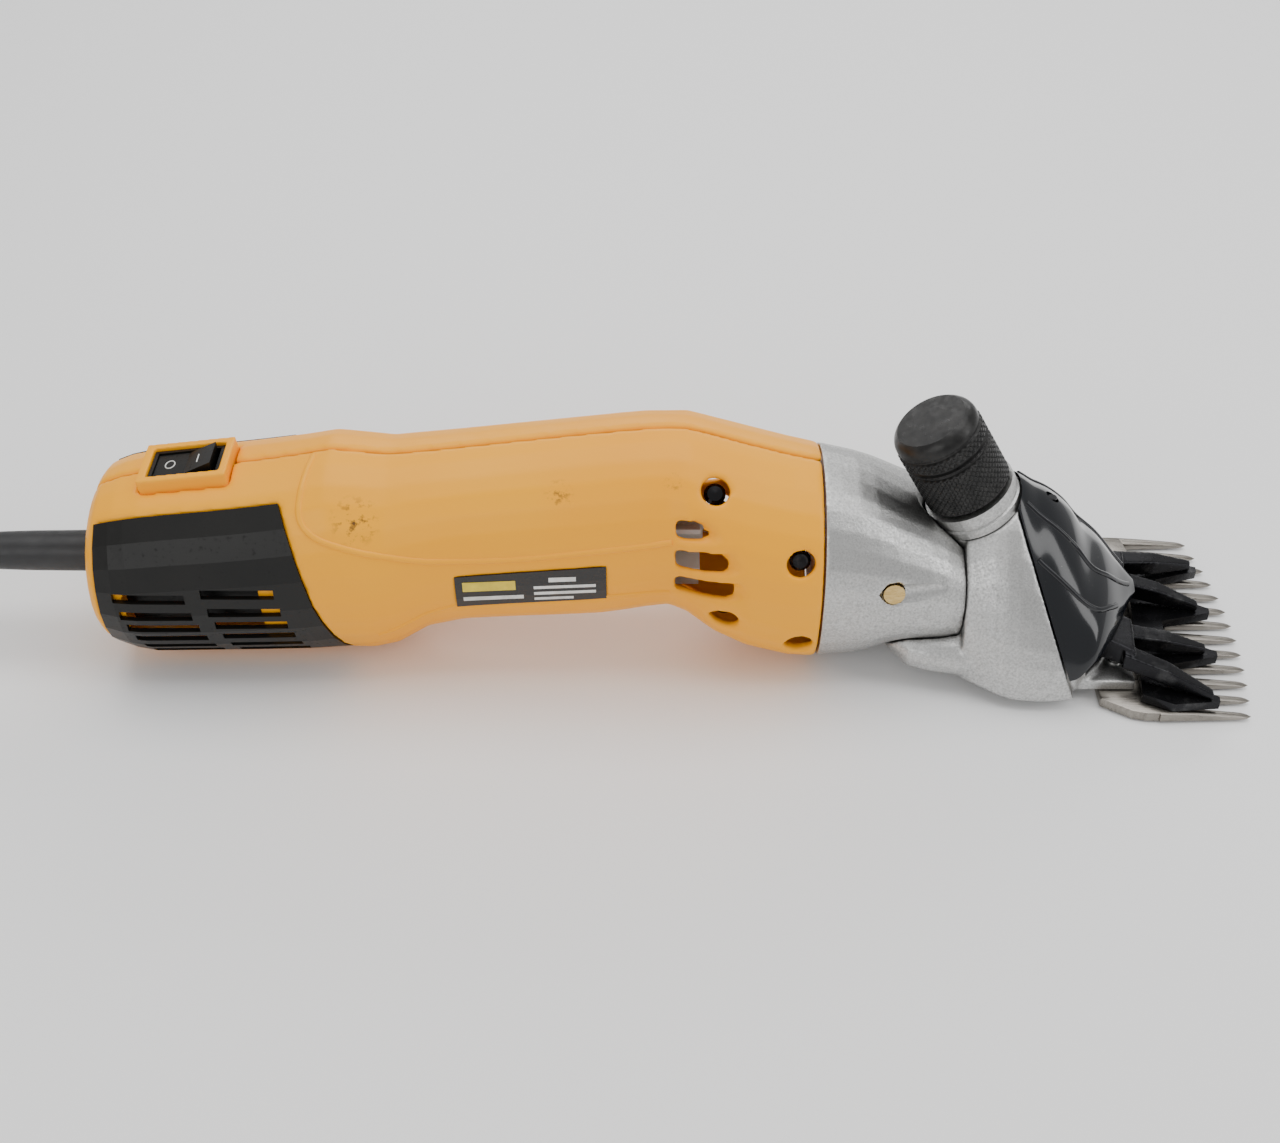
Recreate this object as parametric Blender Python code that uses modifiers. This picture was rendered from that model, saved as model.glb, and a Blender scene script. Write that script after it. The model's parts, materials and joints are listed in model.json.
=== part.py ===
"""Electric sheep shears: a mains powered clipper with a gear driven comb and cutter head.

Frame: +X runs from the cord to the comb tips, +Z is up (the switch side), and the origin is
under the middle of the shears, on the surface that they rest on.  All sizes are in metres.
"""
import math

import bmesh
import bpy
import numpy as np
from mathutils import Matrix, Vector

# ---------------------------------------------------------------- overall sizes
BODY_REAR_X = -0.164          # rear face of the plastic housing
HOUSING_LENGTH = 0.202        # rear face to the joint with the gear housing
JOINT_X = BODY_REAR_X + HOUSING_LENGTH
HOUSING_HEIGHT = 0.0736       # resting surface to the ridge over the grip
HOUSING_HALF_WIDTH = 0.029    # widest half width, at the fan end
WALL = 0.0026                 # wall of the plastic shells
FIT = 0.0003                  # gap that touching pieces keep
SPLIT_GAP = 0.00015           # half of the gap between the two shells

# ---------------------------------------------------------------- housing outline
# share of length, top as a share of height, bottom as a share of height, half width as a share
# of the widest half width, roundness of the upper and of the lower half (2 is an ellipse)
HOUSING_SHAPE = (
    (0.000, 0.700, 0.110, 0.800, 2.2, 1.9),
    (0.012, 0.743, 0.060, 0.890, 2.2, 1.9),
    (0.040, 0.775, 0.022, 0.945, 2.2, 1.9),
    (0.075, 0.797, -0.002, 0.960, 2.2, 1.9),
    (0.195, 0.838, -0.002, 0.960, 2.2, 1.9),
    (0.292, 0.880, -0.002, 0.955, 2.2, 1.9),
    (0.334, 0.905, 0.006, 0.940, 2.2, 1.9),
    (0.376, 0.892, 0.014, 0.930, 2.2, 2.0),
    (0.411, 0.880, 0.048, 0.905, 2.2, 2.1),
    (0.455, 0.893, 0.140, 0.870, 2.2, 2.2),
    (0.505, 0.910, 0.172, 0.850, 2.2, 2.2),
    (0.698, 0.977, 0.197, 0.845, 2.2, 2.2),
    (0.762, 0.996, 0.224, 0.845, 2.2, 2.1),
    (0.792, 1.000, 0.231, 0.855, 2.1, 2.0),
    (0.817, 0.996, 0.204, 0.905, 2.1, 2.0),
    (0.856, 0.965, 0.122, 0.975, 2.0, 2.1),
    (0.901, 0.924, 0.068, 1.000, 2.0, 2.3),
    (0.960, 0.876, 0.041, 0.983, 2.0, 2.7),
    (1.000, 0.850, 0.027, 0.955, 2.0, 2.7),
)

# ---------------------------------------------------------------- bulkheads and motor
MOTOR_AXIS_SHARE = 0.545      # motor axis height as a share of the housing height
REAR_WALL_SHARE = 0.345       # bulkhead behind the commutator, as a share of the length
FRONT_WALL_SHARE = 0.755      # bulkhead in front of the field coils
BULKHEAD = 0.005
MOTOR_CLEARANCE = 0.0008
CAVITY_END = 0.0035           # rear wall thickness
STATOR_LENGTH = 0.036
STATOR_WALL = 0.0045
AIR_GAP = 0.0005
SHAFT_RADIUS = 0.003
BEARING_RADIUS = 0.0085
BEARING_LENGTH = 0.0058
COMMUTATOR_RADIUS = 0.0095
COMMUTATOR_LENGTH = 0.011
BRUSH_SIDE = 0.005
FAN_RADIUS = 0.0195
FAN_LENGTH = 0.010

# ---------------------------------------------------------------- switch, grilles, label
SWITCH_SHARE = 0.136          # middle of the switch along the housing
SWITCH_LENGTH = 0.0205
SWITCH_WIDTH = 0.0130
SWITCH_DEPTH = 0.013
SWITCH_RIM = 0.0022
ROCKER_TILT = math.radians(10)
GRILLE_START = 0.016          # shares of the length
GRILLE_END = 0.270
GRILLE_SLANT = 0.0155         # the lower end of the panel stands this much further forward
GRILLE_FROM = math.radians(33)   # angles round the section, from the ridge
GRILLE_TO = math.radians(150)
SLOTS_FROM = math.radians(72)
SLOTS_TO = math.radians(140)
GRILLE_DEPTH = 0.0014
GRILLE_ROWS = 6
SLOT_HEIGHT = 0.0030
SLOT_LENGTH = 0.0200
SLOT_SPACE = 0.0045
LABEL_START = 0.502
LABEL_END = 0.707
LABEL_FROM = math.radians(89)
LABEL_TO = math.radians(112)
LABEL_DEPTH = 0.0006

# ---------------------------------------------------------------- gear housing
GEAR_LENGTH = 0.0400
GEAR_WALL = 0.0030
# share of length, top, bottom and half width as shares of the housing's own sizes, roundness
GEAR_SHAPE = (
    (0.00, 0.848, 0.030, 0.948, 2.0, 2.7),
    (0.30, 0.795, 0.052, 0.930, 2.1, 2.7),
    (0.60, 0.700, 0.120, 0.905, 2.3, 2.6),
    (0.85, 0.625, 0.128, 0.870, 2.4, 2.6),
    (1.00, 0.560, 0.128, 0.820, 2.4, 2.4),
)
GEAR_TEETH = 36
PINION_TEETH = 10
GEAR_MODULE_GAP = 0.0004      # running gap between the two toothed rims
GEAR_WIDTH = 0.0060
CRANK_THROW = 0.0030
CRANK_ROLLER_RADIUS = 0.0035
CRANK_SHAFT_RADIUS = 0.0040

# ---------------------------------------------------------------- head
HEAD_LENGTH = 0.0430
HEAD_HALF_WIDTH = 0.0330
HEAD_WALL = 0.0032
COMB_HALF_WIDTH = 0.0380
COMB_TEETH = 13
COMB_TIP_X = JOINT_X + 0.1260
COMB_HEEL_X = JOINT_X + 0.0800
COMB_ROOT_X = JOINT_X + 0.1040
COMB_THICKNESS = 0.0032
COMB_SAGITTA = 0.0045         # the outer teeth end this much behind the middle one
COMB_TOOTH_WIDTH = 0.0026
CUTTER_TEETH = 4
CUTTER_THICKNESS = 0.0028
CUTTER_TIP_X = JOINT_X + 0.1180
CUTTER_REAR_X = JOINT_X + 0.0950
CUTTER_TOOTH_TIP = 0.0020
CUTTER_TOOTH_ROOT = 0.0130
FULCRUM_X = JOINT_X + 0.0500
FULCRUM_RADIUS = 0.0040
REST_SWING = math.radians(-7.3)  # the cutter stands at the end of its stroke
LEVER_THICKNESS = 0.0060
LEVER_Z = 0.0150              # underside of the fork lever
HOOD_THICKNESS = 0.0022
KNOB_TILT = math.radians(-30)
KNOB_BASE = (JOINT_X + 0.04525, 0.0, 0.0458)
KNOB_RADIUS = 0.0125
KNOB_LENGTH = 0.0278
KNOB_BORE_DEPTH = 0.0180
COLLAR_RADIUS = 0.0130
COLLAR_LENGTH = 0.0075
TENSION_PIN_RADIUS = 0.0045

# ---------------------------------------------------------------- cord
CORD_RADIUS = 0.00375
RELIEF_RADIUS = 0.0060
RELIEF_LENGTH = 0.0480
CORD_Z = 0.0300               # height of the cord's way out of the housing
COIL_RADIUS = 0.0430          # middle of the turns
COIL_HALF_WIDTH = 0.0110
COIL_HEIGHT = 0.0235

COLLECTION = "sheep_shears"


# ================================================================ helpers
def clear_scene():
    for item in list(bpy.data.objects):
        bpy.data.objects.remove(item, do_unlink=True)


def make_collection(name):
    collection = bpy.data.collections.new(name)
    bpy.context.scene.collection.children.link(collection)
    return collection


clear_scene()
PARTS = make_collection(COLLECTION)
CUTTERS = make_collection(COLLECTION + "_cutters")
MATERIALS = {}
FINISHES = {
    "yellow_plastic": ((0.90, 0.37, 0.01), 0.42, 0.0),
    "black_plastic": ((0.018, 0.018, 0.017), 0.55, 0.0),
    "gloss_black": ((0.010, 0.010, 0.011), 0.14, 0.0),
    "black_rubber": ((0.020, 0.020, 0.020), 0.70, 0.0),
    "label_black": ((0.015, 0.015, 0.015), 0.30, 0.0),
    "cast_aluminium": ((0.62, 0.62, 0.63), 0.42, 1.0),
    "knob_black": ((0.030, 0.030, 0.032), 0.38, 0.6),
    "ground_steel": ((0.44, 0.40, 0.36), 0.34, 1.0),
    "dark_steel": ((0.16, 0.155, 0.15), 0.32, 1.0),
    "bright_steel": ((0.60, 0.60, 0.61), 0.25, 1.0),
    "brass": ((0.70, 0.50, 0.22), 0.30, 1.0),
    "copper": ((0.72, 0.32, 0.16), 0.35, 1.0),
    "carbon": ((0.03, 0.03, 0.03), 0.75, 0.0),
    "white_nylon": ((0.80, 0.78, 0.72), 0.50, 0.0),
}


def material(name):
    if name not in MATERIALS:
        colour, roughness, metallic = FINISHES[name]
        made = bpy.data.materials.new(name)
        made.use_nodes = True
        shader = made.node_tree.nodes["Principled BSDF"]
        shader.inputs["Base Color"].default_value = (*colour, 1.0)
        shader.inputs["Roughness"].default_value = roughness
        shader.inputs["Metallic"].default_value = metallic
        MATERIALS[name] = made
    return MATERIALS[name]


def add_object(name, mesh, finish, parent=None, matrix=None):
    item = bpy.data.objects.new(name, mesh)
    PARTS.objects.link(item)
    mesh.materials.clear()
    mesh.materials.append(material(finish))
    if matrix is not None:
        item.matrix_world = matrix
    if parent is not None:
        item.parent = parent
        item.matrix_parent_inverse = parent.matrix_world.inverted()
    return item


def hide_cutter(item):
    item.hide_render = True
    item.display_type = "WIRE"
    for home in list(item.users_collection):
        home.objects.unlink(item)
    CUTTERS.objects.link(item)
    return item


def cut(target, cutter, operation="DIFFERENCE"):
    modifier = target.modifiers.new(operation.title(), "BOOLEAN")
    modifier.operation = operation
    modifier.solver = "EXACT"
    modifier.object = hide_cutter(cutter)
    return target


def mesh_from(build):
    """Runs a function on a fresh bmesh and returns it as a mesh with outward, unbent faces."""
    draft = bmesh.new()
    build(draft)
    bmesh.ops.remove_doubles(draft, verts=draft.verts, dist=1e-6)
    bmesh.ops.recalc_face_normals(draft, faces=draft.faces)
    bent = [face for face in draft.faces if len(face.verts) == 4]
    bmesh.ops.triangulate(draft, faces=bent)
    mesh = bpy.data.meshes.new("draft")
    draft.to_mesh(mesh)
    draft.free()
    mesh.shade_smooth()
    mesh.set_sharp_from_angle(angle=math.radians(35))
    return mesh


def box_mesh(low, high):
    def build(draft):
        size = [b - a for a, b in zip(low, high)]
        middle = [(a + b) / 2 for a, b in zip(low, high)]
        place = Matrix.Translation(middle) @ Matrix.Diagonal((*size, 1.0))
        bmesh.ops.create_cube(draft, size=1.0, matrix=place)
    return mesh_from(build)


def add_turned(name, profile, finish, matrix=None, parent=None, sides=32):
    """A shape turned about Z from (radius, z) points, given from the top down."""
    closed = profile[0][0] > 0 and profile[-1][0] > 0
    count = len(profile)
    edges = [(step, (step + 1) % count) for step in range(count if closed else count - 1)]
    mesh = bpy.data.meshes.new(name)
    mesh.from_pydata([(radius, 0.0, z) for radius, z in profile], edges, [])
    item = add_object(name, mesh, finish, parent, matrix)
    screw = item.modifiers.new("Turn", "SCREW")
    screw.axis = "Z"
    screw.angle = 2 * math.pi
    screw.steps = sides
    screw.render_steps = sides
    screw.use_merge_vertices = True
    screw.merge_threshold = 0.00001
    screw.use_smooth_shade = False
    return item


def join_rings(draft, first, second):
    count = max(len(first), len(second))
    for step in range(count):
        after = (step + 1) % count
        corners = [first[step % len(first)], first[after % len(first)]]
        corners += [second[after % len(second)], second[step % len(second)]]
        unique = list(dict.fromkeys(corners))
        if len(unique) > 2:
            draft.faces.new(unique)


def loft_mesh(sections):
    """A closed solid through rings of equal point count, capped at both ends."""
    def build(draft):
        rings = [[draft.verts.new(point) for point in section] for section in sections]
        for first, second in zip(rings, rings[1:]):
            join_rings(draft, first, second)
        draft.faces.new(rings[0])
        draft.faces.new(rings[-1])
    return mesh_from(build)


def plate_mesh(outline, low, high):
    """A flat plate: an outline in X and Y, filled between two heights."""
    return loft_mesh([[(x, y, low) for x, y in outline], [(x, y, high) for x, y in outline]])


def along_x(x, y, z):
    """Places a shape turned about Z so that its axis runs along +X from the given point."""
    return Matrix.Translation((x, y, z)) @ Matrix.Rotation(math.pi / 2, 4, "Y")


def towards_y(x, y, z, side):
    """Places a shape turned about Z so that its top faces the given side, -1 or +1."""
    return Matrix.Translation((x, y, z)) @ Matrix.Rotation(-side * math.pi / 2, 4, "X")


def disc(radius, length, bore=0.0):
    """A turned disc or ring that stands from z = 0 to z = length."""
    if bore:
        return [(radius, length), (radius, 0.0), (bore, 0.0), (bore, length)]
    return [(0.0, length), (radius, length), (radius, 0.0), (0.0, 0.0)]


def smooth_table(table, share):
    """Reads every column of a table at one share, on a curve that never overshoots."""
    rows = np.array(table)
    places = rows[:, 0]
    share = min(max(share, places[0]), places[-1])
    index = int(min(max(np.searchsorted(places, share) - 1, 0), len(places) - 2))
    steps = np.diff(places)[:, None]
    slopes = np.diff(rows[:, 1:], axis=0) / steps
    tangents = np.zeros_like(rows[:, 1:])
    tangents[0] = slopes[0]
    tangents[-1] = slopes[-1]
    product = slopes[:-1] * slopes[1:]
    total = slopes[:-1] + slopes[1:]
    inner = np.where(product > 0, 2 * product / np.where(product > 0, total, 1.0), 0.0)
    tangents[1:-1] = inner
    width = places[index + 1] - places[index]
    t = (share - places[index]) / width
    first, last = rows[index, 1:], rows[index + 1, 1:]
    value = first * (2 * t**3 - 3 * t**2 + 1) + last * (3 * t**2 - 2 * t**3)
    value = value + width * tangents[index] * (t**3 - 2 * t**2 + t)
    return value + width * tangents[index + 1] * (t**3 - t**2)


# ================================================================ outline of the body
class Section:
    """One cross-section of the body: its top, bottom, half width and roundness."""

    def __init__(self, values):
        self.top = values[0] * HOUSING_HEIGHT
        self.bottom = values[1] * HOUSING_HEIGHT
        self.half_width = values[2] * HOUSING_HALF_WIDTH
        self.upper = values[3]
        self.lower = values[4]

    def point(self, x, angle, inset=0.0):
        """A point at an angle from the ridge; negative Y is the side that faces -Y."""
        power = 2.0 / (self.upper if math.cos(angle) > 0 else self.lower)
        middle = (self.top + self.bottom) / 2
        half_height = (self.top - self.bottom) / 2 - inset
        across = math.copysign(abs(math.sin(angle)) ** power, math.sin(angle))
        upright = math.copysign(abs(math.cos(angle)) ** power, math.cos(angle))
        return (x, -(self.half_width - inset) * across, middle + half_height * upright)


def housing_x(share):
    return BODY_REAR_X + share * HOUSING_LENGTH


def housing_section(x):
    return Section(smooth_table(HOUSING_SHAPE, (x - BODY_REAR_X) / HOUSING_LENGTH))


GEAR_END_X = JOINT_X + GEAR_LENGTH
MOTOR_Z = MOTOR_AXIS_SHARE * HOUSING_HEIGHT


def gear_section(x):
    return Section(smooth_table(GEAR_SHAPE, (x - JOINT_X) / GEAR_LENGTH))


def ring(section_of, x, inset, count=28):
    """A whole cross-section as a ring of points."""
    section = section_of(x)
    return [section.point(x, 2 * math.pi * step / count, inset) for step in range(count)]


def half_ring(x, side, count=14):
    """Half of a cross-section, closed along the parting plane and flat where it rests."""
    section = housing_section(x)
    points = [section.point(x, math.pi * step / count) for step in range(count + 1)]
    shaped = []
    for point in points:
        shaped.append((point[0], side * max(-point[1], SPLIT_GAP), max(point[2], 0.0)))
    return shaped


def patch_mesh(section_of, x_range, angles, outset, inset, slant=0.0, side=-1, steps=(12, 8)):
    """A curved plate that follows the outer surface, from outset above it to inset below it."""
    def surface(depth):
        rows = []
        for row in range(steps[1] + 1):
            share = row / steps[1]
            angle = angles[0] + share * (angles[1] - angles[0])
            shift = slant * share
            line = []
            for step in range(steps[0] + 1):
                x = x_range[0] + (x_range[1] - x_range[0]) * step / steps[0]
                x += shift * step / steps[0]
                point = section_of(x).point(x, angle, depth)
                line.append((point[0], -side * point[1], point[2]))
            rows.append(line)
        return rows

    def build(draft):
        sheets = []
        for depth in (-outset, inset):
            rows = [[draft.verts.new(point) for point in line] for line in surface(depth)]
            sheets.append(rows)
            for upper, lower in zip(rows, rows[1:]):
                for step in range(len(upper) - 1):
                    draft.faces.new((upper[step], upper[step + 1], lower[step + 1], lower[step]))
        outer, inner = sheets
        for first, second in ((outer[0], inner[0]), (outer[-1], inner[-1])):
            for step in range(len(first) - 1):
                draft.faces.new((first[step], first[step + 1], second[step + 1], second[step]))
        for column in (0, -1):
            for row in range(len(outer) - 1):
                corners = (outer[row], outer[row + 1], inner[row + 1], inner[row])
                draft.faces.new([line[column] for line in corners])
    return mesh_from(build)


def inner_reach(start, end):
    """The largest radius about the motor axis that clears the shell's inside between two x."""
    reach = HOUSING_HALF_WIDTH
    for step in range(13):
        x = start + (end - start) * step / 12
        section = housing_section(x)
        for turn in range(25):
            point = section.point(x, math.pi * turn / 24, WALL)
            reach = min(reach, math.hypot(point[1], point[2] - MOTOR_Z))
    return reach


# ================================================================ plastic housing
REAR_WALL_X = housing_x(REAR_WALL_SHARE)
FRONT_WALL_X = housing_x(FRONT_WALL_SHARE)
SWITCH_X = housing_x(SWITCH_SHARE)
SWITCH_Z = housing_section(SWITCH_X).top
SWITCH_PITCH = -math.atan2(
    housing_section(SWITCH_X + 0.01).top - housing_section(SWITCH_X - 0.01).top, 0.02
)
GRILLE_X = (housing_x(GRILLE_START), housing_x(GRILLE_END))
LABEL_X = (housing_x(LABEL_START), housing_x(LABEL_END))
SCREW_SPOTS = {
    "body_screw_upper": (housing_x(0.852), math.radians(38)),
    "body_screw_lower": (housing_x(0.868), math.radians(112)),
    "ring_screw_upper": (housing_x(0.968), math.radians(66)),
    "ring_screw_lower": (housing_x(0.972), math.radians(116)),
}
SCREW_HEAD_RADIUS = 0.0030
SCREW_WELL_RADIUS = 0.0039
SCREW_HEAD_DEPTH = 0.0055


def chamber(start, end):
    """The hollow between two bulkheads, as a cutter."""
    steps = max(3, int(round((end - start) / 0.006)))
    places = [start + (end - start) * step / steps for step in range(steps + 1)]
    mesh = loft_mesh([ring(housing_section, x, WALL, 24) for x in places])
    return add_object("chamber", mesh, "black_plastic")


def side_frame(x, angle, side, section_of=housing_section):
    """The place and outward direction of a screw on the side of the body."""
    section = section_of(x)
    here = Vector(section.point(x, angle))
    before = Vector(section.point(x, angle - 0.05))
    after = Vector(section.point(x, angle + 0.05))
    along = (after - before).normalized()
    outward = Vector((0.0, along.z, -along.y))
    if outward.y > 0:
        outward = -outward
    here.y *= -side
    outward.y *= -side
    turn = outward.to_track_quat("Z", "Y").to_matrix().to_4x4()
    return Matrix.Translation(here) @ turn


def slot_places():
    """Middle x and height of every air slot, from the same rows on both sides."""
    places = []
    for row in range(GRILLE_ROWS):
        share = (row + 0.9) / (GRILLE_ROWS + 0.6)
        angle = SLOTS_FROM + share * (SLOTS_TO - SLOTS_FROM)
        middle = (GRILLE_X[0] + GRILLE_X[1]) / 2 + GRILLE_SLANT * share / 2
        reach = (SLOT_LENGTH + SLOT_SPACE) / 2
        for offset in (-reach, reach):
            x = middle + offset
            places.append((x, housing_section(x).point(x, angle)))
    return places


def slot_cutters(side):
    cutters = []
    for x, point in slot_places():
        depth = 0.006
        low = (-SLOT_LENGTH / 2, -depth, -SLOT_HEIGHT / 2)
        high = (SLOT_LENGTH / 2, depth, SLOT_HEIGHT / 2)
        tilt = math.atan2(point[2] - MOTOR_Z, -point[1]) * 0.5
        place = Matrix.Translation((x, side * -point[1], point[2]))
        place = place @ Matrix.Rotation(side * tilt, 4, "X")
        cutter = add_object("slot", box_mesh(low, high), "black_plastic", matrix=place)
        cutters.append(cutter)
    return cutters


def make_housing(side, name):
    places = [row[0] for row in HOUSING_SHAPE]
    dense = []
    for first, second in zip(places, places[1:]):
        dense.append(first)
        if second - first > 0.06:
            middle = 3 if second - first > 0.15 else 1
            dense += [first + (second - first) * (k + 1) / (middle + 1) for k in range(middle)]
    dense.append(1.0)
    sections = [half_ring(housing_x(share), side) for share in dense]
    shell = add_object(name, loft_mesh(sections), "yellow_plastic")
    spans = (
        (BODY_REAR_X + CAVITY_END, REAR_WALL_X),
        (REAR_WALL_X + BULKHEAD, FRONT_WALL_X),
        (FRONT_WALL_X + BULKHEAD, JOINT_X + 0.001),
    )
    for start, end in spans:
        cut(shell, chamber(start, end))
    bore = add_turned("bore", disc(BEARING_RADIUS + FIT, FRONT_WALL_X - REAR_WALL_X + 0.02),
                      "black_plastic", along_x(REAR_WALL_X - 0.005, 0, MOTOR_Z), sides=24)
    cut(shell, bore)
    relief = disc(RELIEF_RADIUS + FIT, 0.02)
    cut(shell, add_turned("cord_hole", relief, "black_plastic",
                          along_x(BODY_REAR_X - 0.01, 0, CORD_Z), sides=20))
    cut(shell, switch_window())
    pocket = patch_mesh(housing_section, (GRILLE_X[0] - FIT, GRILLE_X[1] + FIT),
                        (GRILLE_FROM - 0.015, GRILLE_TO + 0.015), 0.002, GRILLE_DEPTH + FIT,
                        GRILLE_SLANT, side)
    cut(shell, add_object("grille_pocket", pocket, "black_plastic"))
    window_low = (GRILLE_X[0] + 0.0074, 0.0123, 0.0097)
    window_high = (GRILLE_X[1] - 0.0071, 0.040, MOTOR_Z + 0.0094)
    if side < 0:
        window_low, window_high = (
            (window_low[0], -window_high[1], window_low[2]),
            (window_high[0], -window_low[1], window_high[2]),
        )
    cut(shell, add_object("grille_window", box_mesh(window_low, window_high), "black_plastic"))
    if side < 0:
        seat = patch_mesh(housing_section, (LABEL_X[0] - FIT, LABEL_X[1] + FIT),
                          (LABEL_FROM - 0.01, LABEL_TO + 0.01), 0.002, LABEL_DEPTH + FIT,
                          0.0, side, (6, 3))
        cut(shell, add_object("label_seat", seat, "black_plastic"))
    for label, (x, angle) in SCREW_SPOTS.items():
        frame = side_frame(x, angle, side)
        well = disc(SCREW_WELL_RADIUS, 0.030)
        place = frame @ Matrix.Translation((0, 0, -SCREW_HEAD_DEPTH))
        cut(shell, add_turned(label + "_well", well, "black_plastic", place, sides=16))
    for cutter in vent_cutters(side):
        cut(shell, cutter)
    return shell


def vent_cutters(side):
    """Three louvred air outlets in the flare in front of the grip."""
    cutters = []
    for low, high in ((0.722, 0.790), (0.600, 0.680), (0.480, 0.555)):
        bottom = low * HOUSING_HEIGHT
        top = high * HOUSING_HEIGHT
        start, end = housing_x(0.800), housing_x(0.895)
        outer = HOUSING_HALF_WIDTH + 0.004
        inner = housing_section(start).half_width - WALL - 0.004
        shallow = housing_section(end).half_width - 0.0008
        corners = [(start, outer), (end, outer), (end, shallow), (start, inner)]
        outline = [(x, side * y) for x, y in corners]
        if side > 0:
            outline.reverse()
        cutters.append(add_object("vent", plate_mesh(outline, bottom, top), "black_plastic"))
    return cutters


def make_side_screws(side, word):
    profile = [
        (0.0, SCREW_HEAD_DEPTH * 0.34), (SCREW_HEAD_RADIUS * 0.7, SCREW_HEAD_DEPTH * 0.30),
        (SCREW_HEAD_RADIUS, SCREW_HEAD_DEPTH * 0.12), (SCREW_HEAD_RADIUS, FIT), (0.0, FIT),
    ]
    for label, (x, angle) in SCREW_SPOTS.items():
        place = side_frame(x, angle, side) @ Matrix.Translation((0, 0, -SCREW_HEAD_DEPTH))
        add_turned(f"{label}_{word}", profile, "dark_steel", place, sides=16)


def make_grille(side, name):
    panel = patch_mesh(housing_section, GRILLE_X, (GRILLE_FROM, GRILLE_TO), 0.0, GRILLE_DEPTH,
                       GRILLE_SLANT, side)
    item = add_object(name, panel, "black_plastic")
    for cutter in slot_cutters(side):
        cut(item, cutter)
    return item


def make_label():
    mesh = patch_mesh(housing_section, LABEL_X, (LABEL_FROM, LABEL_TO), 0.0, LABEL_DEPTH,
                      0.0, -1, (6, 3))
    add_object("label_plate", mesh, "label_black")


# ================================================================ switch
FRAME_LENGTH = SWITCH_LENGTH + 2 * SWITCH_RIM
FRAME_WIDTH = SWITCH_WIDTH + 2 * SWITCH_RIM
FRAME_RISE = 0.0022


def switch_place():
    turn = Matrix.Rotation(SWITCH_PITCH, 4, "Y")
    return Matrix.Translation((SWITCH_X, 0.0, SWITCH_Z)) @ turn


def centred_box(length, width, low, high):
    return box_mesh((-length / 2, -width / 2, low), (length / 2, width / 2, high))


def switch_window():
    mesh = centred_box(FRAME_LENGTH + 2 * FIT, FRAME_WIDTH + 2 * FIT, -SWITCH_DEPTH - 0.004, 0.01)
    return add_object("switch_window", mesh, "black_plastic", matrix=switch_place())


def make_switch():
    place = switch_place()
    frame = add_object("switch_frame", centred_box(FRAME_LENGTH, FRAME_WIDTH, -0.004, FRAME_RISE),
                       "yellow_plastic", matrix=place)
    opening = centred_box(SWITCH_LENGTH, SWITCH_WIDTH, -0.01, 0.01)
    cut(frame, add_object("frame_opening", opening, "black_plastic", matrix=place))
    body = centred_box(SWITCH_LENGTH - 2 * FIT, SWITCH_WIDTH - 2 * FIT, -SWITCH_DEPTH, 0.0012)
    body = add_object("switch_body", body, "black_plastic", matrix=place)
    tray = centred_box(SWITCH_LENGTH - 0.0026, SWITCH_WIDTH - 0.0026, -0.0095, 0.01)
    cut(body, add_object("switch_tray", tray, "black_plastic", matrix=place))
    reach = (SWITCH_LENGTH - 0.0034) / 2
    outline = [(-reach, 0.0022), (0.0, 0.0008), (reach, 0.0022), (reach * 0.72, -0.0060),
               (-reach * 0.72, -0.0060)]
    half = (SWITCH_WIDTH - 0.0034) / 2
    sections = [[(x, y, z) for x, z in outline] for y in (-half, half)]
    pivot = bpy.data.objects.new("switch_pivot", None)
    PARTS.objects.link(pivot)
    pivot.matrix_world = place
    bpy.context.view_layer.update()
    rocker = add_object("switch_rocker", loft_mesh(sections), "black_plastic")
    rocker.parent = pivot
    rocker.rotation_euler = (0.0, -ROCKER_TILT, 0.0)


# ================================================================ motor
STATOR_START = REAR_WALL_X + 0.0345
STATOR_END = STATOR_START + STATOR_LENGTH
STATOR_RADIUS = inner_reach(STATOR_START, STATOR_END) - MOTOR_CLEARANCE
STATOR_BORE = STATOR_RADIUS - STATOR_WALL - 0.0035
COMMUTATOR_START = REAR_WALL_X + BULKHEAD + 0.006
FAN_START = FRONT_WALL_X + BULKHEAD + 0.002
FAN_REACH = min(FAN_RADIUS, inner_reach(FAN_START, FAN_START + FAN_LENGTH) - 0.002)
GEAR_START_X = JOINT_X + 0.0095
PINION_X = GEAR_START_X + 0.0005
GEAR_FLOOR = 0.062 * HOUSING_HEIGHT + GEAR_WALL + 0.0012
GEAR_SHARE = GEAR_TEETH / (GEAR_TEETH + PINION_TEETH)
GEAR_PITCH_RADIUS = (MOTOR_Z - GEAR_FLOOR) * GEAR_SHARE / (1 + GEAR_SHARE)
GEAR_AXIS_Z = GEAR_FLOOR + GEAR_PITCH_RADIUS
PINION_PITCH_RADIUS = MOTOR_Z - GEAR_AXIS_Z - GEAR_PITCH_RADIUS
PLATE_START = JOINT_X + 0.0015
PLATE_THICKNESS = 0.0050
PLATE_BEARING_RADIUS = 0.0060
SHAFT_START = REAR_WALL_X - 0.004
SHAFT_END = PINION_X - FIT


def toothed_disc(name, teeth, radius, depth, length, bore, finish, matrix, parent=None):
    """A gear blank whose rim carries one notch for each tooth."""
    outline = []
    for tooth in range(teeth):
        for share, reach in ((0.0, radius), (0.42, radius), (0.55, radius - depth),
                             (0.87, radius - depth)):
            angle = 2 * math.pi * (tooth + share) / teeth
            outline.append((reach * math.cos(angle), reach * math.sin(angle)))
    gear = add_object(name, plate_mesh(outline, 0.0, length), finish, parent, matrix)
    hole_place = matrix @ Matrix.Translation((0, 0, -0.001))
    if bore:
        hole = disc(bore, length + 0.002)
        cut(gear, add_turned(name + "_bore", hole, finish, hole_place, sides=20))
    return gear


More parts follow.
